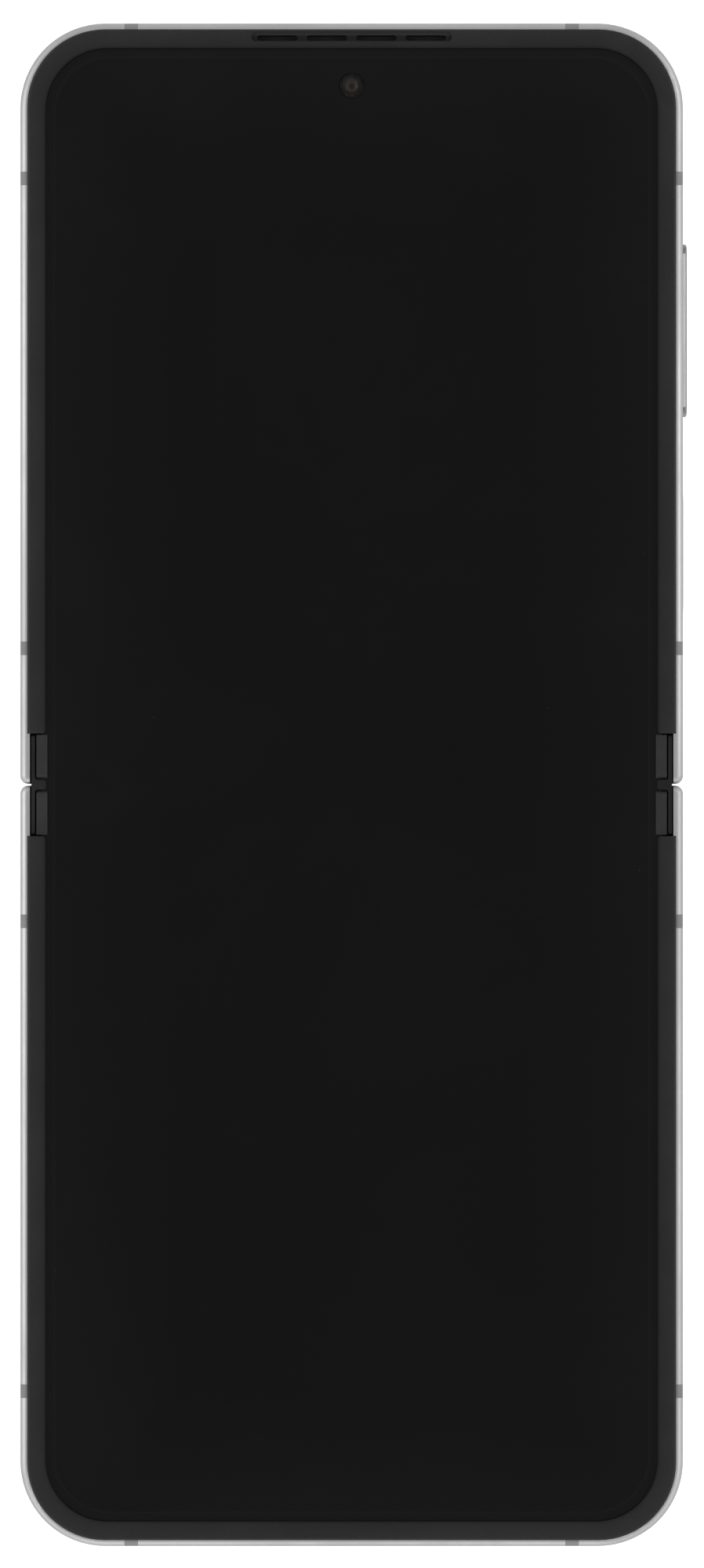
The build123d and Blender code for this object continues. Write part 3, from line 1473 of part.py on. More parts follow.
with BuildPart() as microphone:
    with Locations((-microphone_from_middle, -cavity_end + piece_gap + microphone_size / 2, board_bottom)):
        Box(
            microphone_size / 2, microphone_size, microphone_height,
            align=(Align.CENTER, Align.CENTER, Align.MAX),
        )
microphone.part.label = "microphone"
export_step(microphone.part, "parts/microphone.step")
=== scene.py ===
# %% [markdown]
# # A folding phone, finished over its CAD frame
# The phone opens flat: two metal halves, a screen that bends across the middle, and a hinge with two axes
# between them. The solids come from the CAD model. This lesson gives them light, a camera, finishes and the
# small parts that only show up close, such as camera lenses, plug contacts and printed ribbon cables.
# Everything is in metres, in the frame of the CAD model: +X to the right, +Y to the earpiece, +Z out of the
# inner screen.

# %% Load the CAD frame
import math

import bmesh
import bpy
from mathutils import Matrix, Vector


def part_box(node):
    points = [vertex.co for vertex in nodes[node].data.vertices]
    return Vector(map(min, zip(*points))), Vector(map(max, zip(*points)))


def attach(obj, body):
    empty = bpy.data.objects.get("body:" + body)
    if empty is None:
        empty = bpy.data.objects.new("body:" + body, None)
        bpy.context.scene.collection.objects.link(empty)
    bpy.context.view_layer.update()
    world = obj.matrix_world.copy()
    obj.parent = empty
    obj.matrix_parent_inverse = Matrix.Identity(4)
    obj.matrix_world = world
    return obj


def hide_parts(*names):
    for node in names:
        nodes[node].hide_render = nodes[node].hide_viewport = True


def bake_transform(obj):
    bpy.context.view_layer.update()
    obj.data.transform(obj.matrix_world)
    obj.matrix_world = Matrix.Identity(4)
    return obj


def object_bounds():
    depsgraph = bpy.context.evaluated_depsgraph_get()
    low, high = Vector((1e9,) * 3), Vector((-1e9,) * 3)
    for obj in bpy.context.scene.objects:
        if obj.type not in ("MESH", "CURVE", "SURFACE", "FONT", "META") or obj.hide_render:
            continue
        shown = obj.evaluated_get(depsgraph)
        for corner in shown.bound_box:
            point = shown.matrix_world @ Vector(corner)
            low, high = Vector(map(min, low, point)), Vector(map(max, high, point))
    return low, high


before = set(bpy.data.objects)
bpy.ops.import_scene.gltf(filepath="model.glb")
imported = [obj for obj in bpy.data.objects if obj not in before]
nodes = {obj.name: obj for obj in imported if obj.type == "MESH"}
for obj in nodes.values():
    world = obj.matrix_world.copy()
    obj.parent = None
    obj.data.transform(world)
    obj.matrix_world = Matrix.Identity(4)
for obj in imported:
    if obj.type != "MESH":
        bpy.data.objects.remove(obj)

cad_box = [list(corner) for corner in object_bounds()]
mm = 0.001


def in_mm(point):
    """A point in millimetres, for printing."""
    return [round(v / mm, 2) for v in point]


print("CAD nodes:", len(nodes), "box in mm:", [in_mm(corner) for corner in cad_box])

# %% [markdown]
# ## The camera
# The phone is seen from straight above through a long lens, so that its edges stay parallel. With 200 mm of
# focal length, the distance follows from how much height the view has to hold at the screen's level.

# %% Camera
VIEW_HEIGHT = 170.0 * mm
VIEW_MIDDLE = (0.04 * mm, 0.085 * mm)
SCREEN_LEVEL = 6.9 * mm
LENS = 200.0
SENSOR = 36.0
camera_data = bpy.data.cameras.new("top_camera")
camera_data.lens = LENS
camera_data.sensor_width = SENSOR
camera_data.clip_end = 10.0
camera = bpy.data.objects.new("top_camera", camera_data)
camera.location = (*VIEW_MIDDLE, SCREEN_LEVEL + LENS / SENSOR * VIEW_HEIGHT)
scene = bpy.context.scene
scene.collection.objects.link(camera)
scene.camera = camera
print("camera height:", round(camera.location.z, 3), "m")

# %% [markdown]
# ## Light and floor
# Polished edges show what stands around them. Here that is a soft tent: dim straight overhead, so that the
# black screen stays black, and bright towards the sides, so that the rounded metal edges get a clean line.
# A world whose brightness follows its height is the simplest tent. It is dimmer on the earpiece side, as if
# a grey card stood there. Four soft lamps at the sides give it direction, and weaker ones between them carry
# the bright line round the corners.


# %% Helpers for node trees
def place(tree, kind, inputs=None, **settings):
    """Adds a node. A number goes on the named socket, another node's output is linked to it."""
    node = tree.nodes.new(kind)
    for name, value in settings.items():
        setattr(node, name, value)
    for name, value in (inputs or {}).items():
        if isinstance(value, bpy.types.NodeSocket):
            tree.links.new(value, node.inputs[name])
        else:
            node.inputs[name].default_value = value
    return node


def tone(colour):
    """A grey number or a colour of three, as a colour socket takes it. An output stays as it is."""
    if isinstance(colour, bpy.types.NodeSocket):
        return colour
    return (*colour, 1) if isinstance(colour, tuple) else (colour, colour, colour, 1)


def ramp(tree, factor, stops):
    """A colour ramp through (position, grey or colour) stops."""
    node = place(tree, "ShaderNodeValToRGB", {"Fac": factor})
    while len(node.color_ramp.elements) < len(stops):
        node.color_ramp.elements.new(0.5)
    for element, (position, colour) in zip(node.color_ramp.elements, stops):
        element.position = position
        element.color = tone(colour)
    return node.outputs["Color"]


def axes(tree, vector):
    """The X, Y and Z of a vector."""
    return place(tree, "ShaderNodeSeparateXYZ", {"Vector": vector}).outputs


def rescale(tree, value, start=0.0, end=1.0, low=0.0, high=1.0, **settings):
    """A value that goes from low to high as the given one goes from start to end."""
    return place(tree, "ShaderNodeMapRange", {
        "Value": value, "From Min": start, "From Max": end, "To Min": low, "To Max": high,
    }, **settings).outputs["Result"]


# %% The light tent
TENT = [(0.0, 0.60), (0.5, 0.62), (0.62, 0.90), (0.80, 0.92), (0.955, 0.72), (0.984, 0.22), (1.0, 0.16)]
OPEN_SIDE, CARD_SIDE = 0.80, 0.50
scene.view_settings.view_transform = "Standard"
world = bpy.data.worlds.new("tent")
world.use_nodes = True
scene.world = world
tree = world.node_tree
direction = place(tree, "ShaderNodeTexCoord").outputs["Generated"]
facing = axes(tree, direction)
height = rescale(tree, facing["Z"], -1.0, 1.0)
card = rescale(tree, facing["Y"], 0.2, 0.95, OPEN_SIDE, CARD_SIDE)
tree.links.new(ramp(tree, height, TENT), tree.nodes["Background"].inputs["Color"])
tree.links.new(card, tree.nodes["Background"].inputs["Strength"])
print("tent stops:", len(TENT))

# %% Lamps
LAMPS = [  # name, place, size in metres, watts
    ("left_softbox", (-0.55, 0.05, 0.38), 0.40, 1.0),
    ("right_softbox", (0.55, 0.10, 0.38), 0.40, 1.0),
    ("earpiece_softbox", (0.05, 0.64, 0.24), 0.34, 0.18),
    ("charging_softbox", (-0.05, -0.64, 0.24), 0.34, 0.45),
    ("corner_softbox", (-0.42, 0.42, 0.30), 0.30, 0.28),
    ("corner_softbox", (0.42, 0.42, 0.30), 0.30, 0.18),
    ("corner_softbox", (-0.42, -0.42, 0.30), 0.30, 0.28),
    ("corner_softbox", (0.42, -0.42, 0.30), 0.30, 0.28),
]
for name, spot, size, watts in LAMPS:
    lamp = bpy.data.lights.new(name, "AREA")
    lamp.shape = "SQUARE"
    lamp.size = size
    lamp.energy = watts
    box = bpy.data.objects.new(name, lamp)
    box.location = spot
    box.rotation_euler = (-Vector(spot)).to_track_quat("-Z", "Y").to_euler()
    scene.collection.objects.link(box)

# %% [markdown]
# The floor is white paper. It glows a little for the camera alone, which keeps it white in the render
# without filling the undersides of the metal edges with light.

# %% The floor
FLOOR_LEVEL = cad_box[0][2] - 0.02 * mm
FLOOR_HALF = 3.0
sheet = bmesh.new()
bmesh.ops.create_grid(sheet, x_segments=1, y_segments=1, size=FLOOR_HALF)
floor_mesh = bpy.data.meshes.new("floor")
sheet.to_mesh(floor_mesh)
sheet.free()
floor = bpy.data.objects.new("floor", floor_mesh)
floor.location.z = FLOOR_LEVEL
scene.collection.objects.link(floor)
paper = bpy.data.materials.new("white_paper")
paper.use_nodes = True
paper_shader = paper.node_tree.nodes["Principled BSDF"]
paper_shader.inputs["Base Color"].default_value = tone(0.93)
paper_shader.inputs["Roughness"].default_value = 0.9
paper_shader.inputs["Emission Color"].default_value = tone(1.0)
seen = place(paper.node_tree, "ShaderNodeLightPath").outputs["Is Camera Ray"]
glow = rescale(paper.node_tree, seen, low=0.02, high=0.60)
paper.node_tree.links.new(glow, paper_shader.inputs["Emission Strength"])
floor_mesh.materials.append(paper)
print("floor at", round(FLOOR_LEVEL / mm, 2), "mm")

# %% [markdown]
# ## Effects that several finishes share
# Each effect is a small node group with named inputs and outputs. It puts out masks and heights only, and
# the finishes below decide what to do with them. Positions come in as metres on the object itself.


# %% Helpers for effects
def effect(name, inputs, outputs):
    """A new node group with float inputs {name: value}, a Position vector, and float outputs."""
    group = bpy.data.node_groups.new(name, "ShaderNodeTree")
    group.interface.new_socket(name="Position", in_out="INPUT", socket_type="NodeSocketVector")
    for label, value in inputs.items():
        socket = group.interface.new_socket(name=label, in_out="INPUT", socket_type="NodeSocketFloat")
        socket.default_value = value
    for label in outputs:
        group.interface.new_socket(name=label, in_out="OUTPUT", socket_type="NodeSocketFloat")
    print("effect", name, "from", list(inputs), "to", outputs)
    return group, group.nodes.new("NodeGroupInput").outputs, group.nodes.new("NodeGroupOutput").inputs


def math_node(tree, operation, first, second=0.0, third=0.5, clamp=False):
    """One step of arithmetic on values. Only MULTIPLY_ADD has a use for the third."""
    return place(
        tree, "ShaderNodeMath", {0: first, 1: second, 2: third}, operation=operation, use_clamp=clamp
    ).outputs[0]


def vector_node(tree, operation, first, second=(0.0, 0.0, 0.0)):
    """One step of arithmetic on vectors. A length or a dot product comes out as a value."""
    node = place(tree, "ShaderNodeVectorMath", {0: first, 1: second}, operation=operation)
    return node.outputs["Value" if operation in ("LENGTH", "DOT_PRODUCT") else "Vector"]


# %% [markdown]
# ### Fine grain
# Blasted metal and moulded plastic have a skin of tiny bumps. A noise texture with a size in features per
# metre gives them, and a second, coarser noise makes the patches that hands and handling leave.

# %% Fine grain and handling
grain_group, given, wanted = effect("fine_grain", {"Scale": 8000.0}, ["Mask", "Height"])
noise = place(grain_group, "ShaderNodeTexNoise", {
    "Vector": given["Position"], "Scale": given["Scale"], "Detail": 3.0, "Roughness": 0.6,
}).outputs["Fac"]
grain_group.links.new(noise, wanted["Height"])
grain_group.links.new(rescale(grain_group, noise, 0.35, 0.65), wanted["Mask"])

handling_group, given, wanted = effect("handling", {"Scale": 60.0}, ["Mask"])
patches = place(handling_group, "ShaderNodeTexNoise", {
    "Vector": given["Position"], "Scale": given["Scale"], "Detail": 4.0, "Roughness": 0.65,
    "Distortion": 0.6,
}).outputs["Fac"]
handled = rescale(handling_group, patches, 0.40, 0.68, interpolation_type="SMOOTHSTEP")
handling_group.links.new(handled, wanted["Mask"])

# %% [markdown]
# ### Worn and highlit edges
# Edges are touched and rubbed most, and their small rounds catch the light, so they are painted a little
# brighter: partly wear, partly a painted highlight. A bevel node gives a rounded normal near each edge, and
# where it departs from the true normal, there is an edge.

# %% Worn edges with a painted highlight
# The mask marks edges that finishes paint lighter: partly wear, partly a painted highlight.
worn_and_highlit_edge_group, given, wanted = effect("edge_wear_and_highlight", {"Radius": 0.15 * mm}, ["Mask"])
bevel = place(worn_and_highlit_edge_group, "ShaderNodeBevel", {"Radius": given["Radius"]}, samples=6).outputs["Normal"]
flat = place(worn_and_highlit_edge_group, "ShaderNodeNewGeometry").outputs["Normal"]
near_edge = rescale(worn_and_highlit_edge_group, vector_node(worn_and_highlit_edge_group, "DOT_PRODUCT", bevel, flat), 0.995, 0.85)
broken = place(worn_and_highlit_edge_group, "ShaderNodeTexNoise", {
    "Vector": given["Position"], "Scale": 900.0, "Detail": 2.0,
}).outputs["Fac"]
worn_and_highlit_edge_group.links.new(math_node(worn_and_highlit_edge_group, "MULTIPLY", near_edge, broken, clamp=True), wanted["Mask"])

# %% [markdown]
# ### Brushed lines and dust
# Rolled and brushed steel has long fine lines: a noise stretched fifty times along one axis. Dust is the
# middle of a few cells, picked at random.

# %% Brushed lines and dust
brushed_group, given, wanted = effect("brushed_lines", {"Scale": 9000.0}, ["Mask", "Height"])
stretched = vector_node(brushed_group, "MULTIPLY", given["Position"], (0.02, 1.0, 1.0))
lines = place(brushed_group, "ShaderNodeTexNoise", {
    "Vector": stretched, "Scale": given["Scale"], "Detail": 2.0,
}).outputs["Fac"]
brushed_group.links.new(lines, wanted["Height"])
brushed_group.links.new(rescale(brushed_group, lines, 0.3, 0.7), wanted["Mask"])

BARE_CELLS = 0.93
dust_group, given, wanted = effect("dust", {"Scale": 260.0, "Size": 0.035}, ["Mask"])
cells = place(dust_group, "ShaderNodeTexVoronoi", {
    "Vector": given["Position"], "Scale": given["Scale"],
}, voronoi_dimensions="2D").outputs
chosen = place(dust_group, "ShaderNodeSeparateColor", {"Color": cells["Color"]}).outputs[0]
few = math_node(dust_group, "GREATER_THAN", chosen, BARE_CELLS)
near = math_node(dust_group, "LESS_THAN", cells["Distance"], given["Size"])
dust_group.links.new(math_node(dust_group, "MULTIPLY", few, near), wanted["Mask"])

# %% [markdown]
# ### Rounded borders
# The screen, the surround and the cover display have lines and soft steps along a rectangle with round
# corners. This effect measures how far a point lies outside it. Inside, the distance is below nothing.

# %% Rounded borders
border_group, given, wanted = effect(
    "rounded_border", {"Half Width": 0.03, "Half Height": 0.03, "Middle": 0.0, "Corner": 0.005},
    ["Distance"],
)


def border_math(operation, first, second=0.0):
    """One step of arithmetic in this effect."""
    return math_node(border_group, operation, first, second)


at = axes(border_group, given["Position"])
outside = []
for value, half in (
    (at["X"], given["Half Width"]),
    (border_math("SUBTRACT", at["Y"], given["Middle"]), given["Half Height"]),
):
    straight = border_math("SUBTRACT", half, given["Corner"])
    outside.append(border_math("SUBTRACT", border_math("ABSOLUTE", value), straight))
beyond = [border_math("MAXIMUM", value, 0.0) for value in outside]
square_sum = border_math("ADD", *(border_math("MULTIPLY", value, value) for value in beyond))
inside = border_math("MINIMUM", border_math("MAXIMUM", *outside), 0.0)
to_middle_line = border_math("ADD", border_math("SQRT", square_sum), inside)
border_group.links.new(border_math("SUBTRACT", to_middle_line, given["Corner"]), wanted["Distance"])

# %% [markdown]
# ## Finishes
# A finish is one Principled shader. What is the same all over goes on its own sockets. What changes over the
# surface comes from the effects: two tones mixed by handling, a roughness between two values, and a bump
# from the grain that stands some micrometres high.


# %% The class of finishes
class Finish:
    """A material under construction: its tree, its shader and the position on the object."""

    def __init__(self, name, metallic=0.0, uv=False, **sockets):
        self.material = bpy.data.materials.new(name)
        self.material.use_nodes = True
        self.tree = self.material.node_tree
        self.shader = self.tree.nodes["Principled BSDF"]
        self.shader.inputs["Metallic"].default_value = metallic
        for label, value in sockets.items():
            self.shader.inputs[label.replace("_", " ")].default_value = value
        coordinates = place(self.tree, "ShaderNodeTexCoord").outputs
        self.position = coordinates["UV" if uv else "Object"]
        print("finish", name)

    def effect(self, group, **values):
        """Places a shared effect with values of its own."""
        inputs = {label.replace("_", " "): value for label, value in values.items()}
        inputs["Position"] = self.position
        return place(self.tree, "ShaderNodeGroup", inputs, node_tree=group).outputs

    def handled(self, scale):
        """Where hands have been, in so many patches to the metre."""
        return self.effect(handling_group, Scale=scale)["Mask"]

    def colour(self, share, first, second):
        """Goes from one tone to the other as share goes from 0 to 1."""
        mix = place(self.tree, "ShaderNodeMix", {0: share, 6: tone(first), 7: tone(second)},
                    data_type="RGBA")
        self.painted = mix.outputs[2]
        self.tree.links.new(self.painted, self.shader.inputs["Base Color"])

    def over(self, share, colour):
        """Lays one more tone over what is painted so far."""
        self.colour(share, self.painted, colour)

    def along(self, distance, width, stops, start=0.0):
        """A ramp of this width over a distance in metres, whose zero lies at start on the ramp."""
        on_ramp = math_node(self.tree, "MULTIPLY_ADD", distance, 1 / width, start)
        return ramp(self.tree, on_ramp, stops)

    def roughness(self, share, low, high):
        """Goes from one roughness to the other as share goes from 0 to 1."""
        self.tree.links.new(rescale(self.tree, share, low=low, high=high), self.shader.inputs["Roughness"])

    def bump(self, height, micrometres):
        """Bends the normals as if height stood up by so many micrometres."""
        node = place(self.tree, "ShaderNodeBump", {"Height": height, "Distance": micrometres * 1e-6})
        self.tree.links.new(node.outputs["Normal"], self.shader.inputs["Normal"])


# %% Helpers for finishes
def grained(name, tones, rough, grain=6500.0, micrometres=2.0, patches=60.0, edge=None,
            radius=0.15 * mm, metallic=0.0, **sockets):
    """A finish with fine grain, soft handling patches and, with an edge tone, edge wear and a painted edge
    highlight.
    """
    finish = Finish(name, metallic, **sockets)
    touched = finish.handled(patches)
    finish.colour(touched, *tones)
    if edge is not None:
        # The edge tone paints edges lighter: partly wear, partly a painted highlight.
        finish.over(finish.effect(worn_and_highlit_edge_group, Radius=radius)["Mask"], edge)
    finish.roughness(touched, *rough)
    finish.bump(finish.effect(grain_group, Scale=grain)["Height"], micrometres)
    return finish


def wear(finish, *names):
    """Puts a finish on CAD nodes, in all their material slots."""
    for name in names:
        for slot in nodes[name].material_slots:
            slot.material = finish.material
    print(finish.material.name, "on", ", ".join(names))


# %% [markdown]
# ### Metal of the two halves
# The frame is an aluminium extrusion, milled, blasted with fine beads and anodised in plain silver. It is
# fully metallic with a soft sheen. The tray, the spine's cover and the camera rings come from the same bath.

# %% Silver anodised aluminium
silver = grained("silver_aluminium", ((0.54, 0.54, 0.545), (0.50, 0.50, 0.505)), (0.47, 0.54),
                 grain=11000.0, micrometres=3.5, patches=45.0, edge=0.64, radius=0.1 * mm, metallic=1.0)
wear(silver, "upper_frame", "lower_frame", "sim_tray", "hinge_cover", "camera_rings")

# %% [markdown]
# The keys are polished a little more. Their rounded shoulders get painted shade, darker than their middle,
# up to a last bright line, a painted highlight on the flat faces. A ramp over the height from the key's
# middle paints both.

# %% Keys with a painted shaded rim and a painted highlight
KEY_HALF = 1.15 * mm
key_low, key_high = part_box("volume_key")
key_silver = grained("key_aluminium_painted_shade_and_highlight", ((0.54, 0.54, 0.545), (0.50, 0.50, 0.505)), (0.42, 0.50),
                     grain=11000.0, micrometres=3.5, patches=45.0, metallic=1.0)
level = axes(key_silver.tree, key_silver.position)["Z"]
off_middle = math_node(key_silver.tree, "ABSOLUTE", math_node(
    key_silver.tree, "SUBTRACT", level, (key_low.z + key_high.z) / 2,
))
# Painted shade: the rounded shoulders darker than the middle.
key_silver.over(key_silver.along(off_middle, KEY_HALF, [(0.50, 0.0), (0.80, 1.0)]), (0.27, 0.27, 0.272))
# Painted highlight: the flat faces at the top and bottom of the key, seen from above as its last bright
# line.
key_silver.over(key_silver.along(off_middle, KEY_HALF, [(0.988, 0.0), (0.998, 1.0)]), 0.97)
wear(key_silver, "volume_key", "power_key")

# %% [markdown]
# A radio can't send through a closed metal ring, so plastic bands cut the frame into pieces. They are
# moulded into it and milled with it, in a grey near that of the metal.

# %% Plastic bands in the frame
bands = grained("grey_band_plastic", ((0.235, 0.235, 0.24), (0.21, 0.21, 0.215)), (0.42, 0.52),
                grain=7000.0, patches=90.0)
wear(bands, "upper_antenna_bands", "lower_antenna_bands")

# %% [markdown]
# ### Surround, flaps and end caps
# These are injection moulded in black and lightly textured. Their edges are painted a little grey, partly as
# wear and partly as a painted highlight. The surround has painted shade: darker towards the screen, where it
# slopes down, and darkest in the recess round the earpiece slots.

# %% Surround
OPENING = {"Half_Width": 33.2 * mm, "Half_Height": 79.86 * mm, "Corner": 6.75 * mm}
SLOT_ROW = {"Half_Width": 10.85 * mm, "Half_Height": 0.3 * mm, "Corner": 0.3 * mm}
SLOTS_FROM_END = 1.67 * mm
surround = grained("black_surround", ((0.0150, 0.0150, 0.0151), (0.0180, 0.0180, 0.0181)), (0.50, 0.60),
                   micrometres=3.0, patches=70.0, edge=0.024, Specular_IOR_Level=0.25)
specks = surround.effect(grain_group, Scale=6000.0)["Mask"]
surround.over(rescale(surround.tree, specks, high=0.3), 0.038)
from_screen = surround.effect(border_group, **OPENING)["Distance"]
# Painted shade: darker towards the screen, where the surround slopes down.
surround.over(surround.along(from_screen, 2.0 * mm, [(0.0, 0.95), (0.16, 0.45), (1.0, 0.0)]), 0.005)
at_slots = surround.effect(border_group, Middle=cad_box[1][1] - SLOTS_FROM_END, **SLOT_ROW)["Distance"]
# Painted shade in the recess round the earpiece slots.
surround.over(surround.along(at_slots, 0.5 * mm, [(0.3, 0.9), (0.7, 0.0)], start=0.5), 0.002)
wear(surround, "upper_bezel", "lower_bezel")

# %% Flaps and end caps
flap_plastic = grained("black_flap_plastic", (0.021, 0.026), (0.55, 0.64), patches=160.0, edge=0.032,
                       Specular_IOR_Level=0.25)
specks = flap_plastic.effect(grain_group, Scale=3500.0)["Mask"]
flap_plastic.over(rescale(flap_plastic.tree, specks, high=0.4), 0.034)
wear(flap_plastic, "upper_flaps", "lower_flaps")
cap_plastic = grained("black_cap_plastic", (0.009, 0.013), (0.46, 0.56), patches=160.0, edge=0.022,
                      Specular_IOR_Level=0.25)
wear(cap_plastic, "hinge_end_caps")

# %% [markdown]
# ### Glass on the outside
# The lower half has etched glass over a silver film: satin, with its sparkle painted under it as light
# specks, painted glints. The upper half is clear glass over black, with the cover display's lit area as a
# slightly bluer rectangle.

# %% Back glasses
COVER_LIT = {"Half_Width": 30.7 * mm, "Half_Height": 26.8 * mm, "Middle": 34.5 * mm, "Corner": 3.0 * mm}
satin = grained("satin_back_glass", ((0.46, 0.465, 0.475), (0.445, 0.45, 0.46)), (0.31, 0.36),
                grain=5200.0, micrometres=1.0, patches=35.0, edge=(0.6, 0.6, 0.61),
                Coat_Weight=0.35, Coat_Roughness=0.18)
# Painted glints: light specks that stand for the film's sparkle.
painted_glints = ramp(satin.tree, satin.effect(grain_group, Scale=16000.0)["Mask"], [(0.80, 0.0), (1.0, 0.5)])
satin.over(painted_glints, (0.62, 0.625, 0.64))
wear(satin, "lower_back_glass")

cover_glass = Finish("black_cover_glass", Coat_Weight=0.5, Coat_Roughness=0.02)
lit = cover_glass.effect(border_group, **COVER_LIT)["Distance"]
cover_glass.colour(cover_glass.handled(50.0), (0.0045, 0.0045, 0.005), (0.006, 0.006, 0.0065))
cover_glass.over(ramp(cover_glass.tree, lit, [(0.0, 1.0), (0.0004, 0.0)]), (0.0035, 0.004, 0.0055))
cover_glass.over(cover_glass.effect(dust_group, Scale=150.0, Size=0.012)["Mask"], 0.06)
cover_glass.roughness(cover_glass.handled(85.0), 0.05, 0.11)
wear(cover_glass, "upper_back_glass")

# %% [markdown]
# ### Steel and other metals inside
# The plates under the screen are rolled stainless steel, the links and gears are sintered steel, and the
# midplates are a matt magnesium alloy. Screws are turned, so their grain is the finest.

# %% Metals of the mechanism
rolled = Finish("rolled_steel", metallic=1.0)
rolling = rolled.effect(brushed_group, Scale=9000.0)
rolled.colour(rolling["Mask"], (0.50, 0.50, 0.51), (0.60, 0.60, 0.61))
# Edges painted lighter: partly wear, partly a painted highlight.
rolled.over(rolled.effect(worn_and_highlit_edge_group, Radius=0.1 * mm)["Mask"], 0.8)
rolled.roughness(rolled.handled(70.0), 0.26, 0.40)
rolled.bump(rolling["Height"], 1.5)
wear(rolled, "upper_display_plate", "lower_display_plate", "friction_discs")

sintered = grained("sintered_steel", ((0.42, 0.41, 0.40), (0.50, 0.49, 0.48)), (0.28, 0.42),
                   grain=14000.0, patches=300.0, edge=0.75, radius=0.08 * mm, metallic=1.0)
wear(sintered, "upper_hinge_arms", "lower_hinge_arms", "hinge_brackets", "upper_outer_gears",
     "upper_inner_gears", "lower_inner_gears", "lower_outer_gears")

alloy = grained("matt_alloy", ((0.34, 0.34, 0.345), (0.40, 0.40, 0.405)), (0.45, 0.58),
                grain=5000.0, micrometres=5.0, patches=120.0, edge=0.7, metallic=1.0)
wear(alloy, "upper_midplate", "lower_midplate")

turned_steel = grained("turned_steel", ((0.60, 0.60, 0.62), (0.52, 0.52, 0.54)), (0.22, 0.32),
                       grain=20000.0, micrometres=1.0, patches=700.0, edge=0.85, radius=0.06 * mm,
                       metallic=1.0)
wear(turned_steel, "upper_hinge_screws", "lower_hinge_screws", "main_board_screws", "sub_board_screws",
     "bracket_screws")

# %% [markdown]
# ### Electronics inside
# Boards have a dark solder mask with copper tracks under it. Batteries are wrapped in black film with fine
# creases. Shields are nickel silver, as are the card reader and the motor here, and the speakers, the key
# switches and the microphone are dull black.

# %% Boards
board = Finish("solder_mask", Coat_Weight=0.4, Coat_Roughness=0.2)
tracks = place(board.tree, "ShaderNodeTexBrick", {
    "Vector": board.position, "Scale": 900.0, "Mortar Size": 0.16, "Mortar Smooth": 0.1,
    "Brick Width": 1.7, "Row Height": 0.6,
}, offset=0.37, squash=1.4, squash_frequency=3).outputs["Fac"]
pads = place(board.tree, "ShaderNodeTexVoronoi", {"Vector": board.position, "Scale": 700.0})
board.colour(board.handled(400.0), (0.008, 0.022, 0.035), (0.010, 0.030, 0.045))
board.over(tracks, (0.018, 0.060, 0.075))
board.over(ramp(board.tree, pads.outputs["Distance"], [(0.10, 1.0), (0.14, 0.0)]), (0.55, 0.42, 0.18))
board.roughness(tracks, 0.45, 0.30)
board.bump(tracks, 12.0)
wear(board, "main_board", "sub_board")

# %% Batteries and small electronics
wrap = grained("battery_wrap", ((0.020, 0.020, 0.022), (0.032, 0.032, 0.034)), (0.30, 0.45),
               grain=300.0, micrometres=45.0, patches=90.0, edge=0.06, radius=0.4 * mm)
wear(wrap, "upper_battery", "lower_battery")

can = grained("nickel_silver", ((0.58, 0.56, 0.50), (0.66, 0.64, 0.58)), (0.24, 0.34),
              grain=1200.0, micrometres=4.0, patches=150.0, edge=(0.85, 0.84, 0.8), metallic=1.0)
wear(can, "board_shields", "card_reader", "vibration_motor")

housing = grained("black_housing", ((0.020, 0.020, 0.021), (0.030, 0.030, 0.031)), (0.48, 0.62),
                  grain=6000.0, micrometres=4.0, patches=200.0, edge=0.07)
wear(housing, "loudspeaker", "earpiece_speaker", "microphone", "key_switches")

sensor = grained("sensor_glass", ((0.10, 0.10, 0.105), (0.13, 0.13, 0.135)), (0.22, 0.30),
                 grain=12000.0, micrometres=0.6, patches=300.0, Coat_Weight=0.6, Coat_Roughness=0.1)
wear(sensor, "fingerprint_sensor")

# %% [markdown]
# ### Ribbons, coil, cover display and gauze
# Ribbon cables are amber film over fine copper lines. The charging coil is wound flat, so its copper lines
# are rings around one middle. The cover display's own panel is black from every side. The earpiece breathes
# through a woven steel gauze, for which a checker of tiny squares is enough.


# %% Ribbons and coil
def ribbon_film(name, uv):
    """Amber film over copper lines that run along Y. A ribbon that bends keeps them by its own map."""
    film = Finish(name, uv=uv, Coat_Weight=0.5, Coat_Roughness=0.15)
    line = place(film.tree, "ShaderNodeTexWave", {
        "Vector": film.position, "Scale": 450.0,
    }, bands_direction="X").outputs["Fac"]
    film.colour(line, (0.16, 0.055, 0.012), (0.42, 0.17, 0.045))
    film.roughness(film.handled(200.0), 0.28, 0.42)
    film.bump(line, 10.0)
    return film


wear(ribbon_film("ribbon_film", False), "upper_ribbons", "lower_ribbons")

COIL_RADIUS = 21.0 * mm
coil = Finish("coil_copper", metallic=1.0)
coil_middle = (0.0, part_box("charging_coil")[1].y - COIL_RADIUS, 0.0)
turns = place(coil.tree, "ShaderNodeTexWave", {
    "Vector": vector_node(coil.tree, "SUBTRACT", coil.position, coil_middle), "Scale": 420.0,
}, wave_type="RINGS", rings_direction="Z").outputs["Fac"]
coil.colour(turns, (0.35, 0.13, 0.06), (0.78, 0.40, 0.26))
coil.roughness(turns, 0.5, 0.28)
coil.bump(turns, 60.0)
wear(coil, "charging_coil")

# %% Cover display and gauze
panel = grained("black_panel", ((0.004, 0.004, 0.005), (0.006, 0.006, 0.007)), (0.12, 0.2),
                grain=3000.0, micrometres=0.5)
wear(panel, "cover_display")
gauze = Finish("steel_gauze", metallic=0.2)
weave = place(gauze.tree, "ShaderNodeTexChecker", {
    "Vector": gauze.position, "Scale": 22000.0,
}).outputs["Fac"]
gauze.colour(weave, 0.02, 0.11)
gauze.roughness(weave, 0.6, 0.35)
gauze.bump(weave, 30.0)
wear(gauze, "earpiece_mesh")
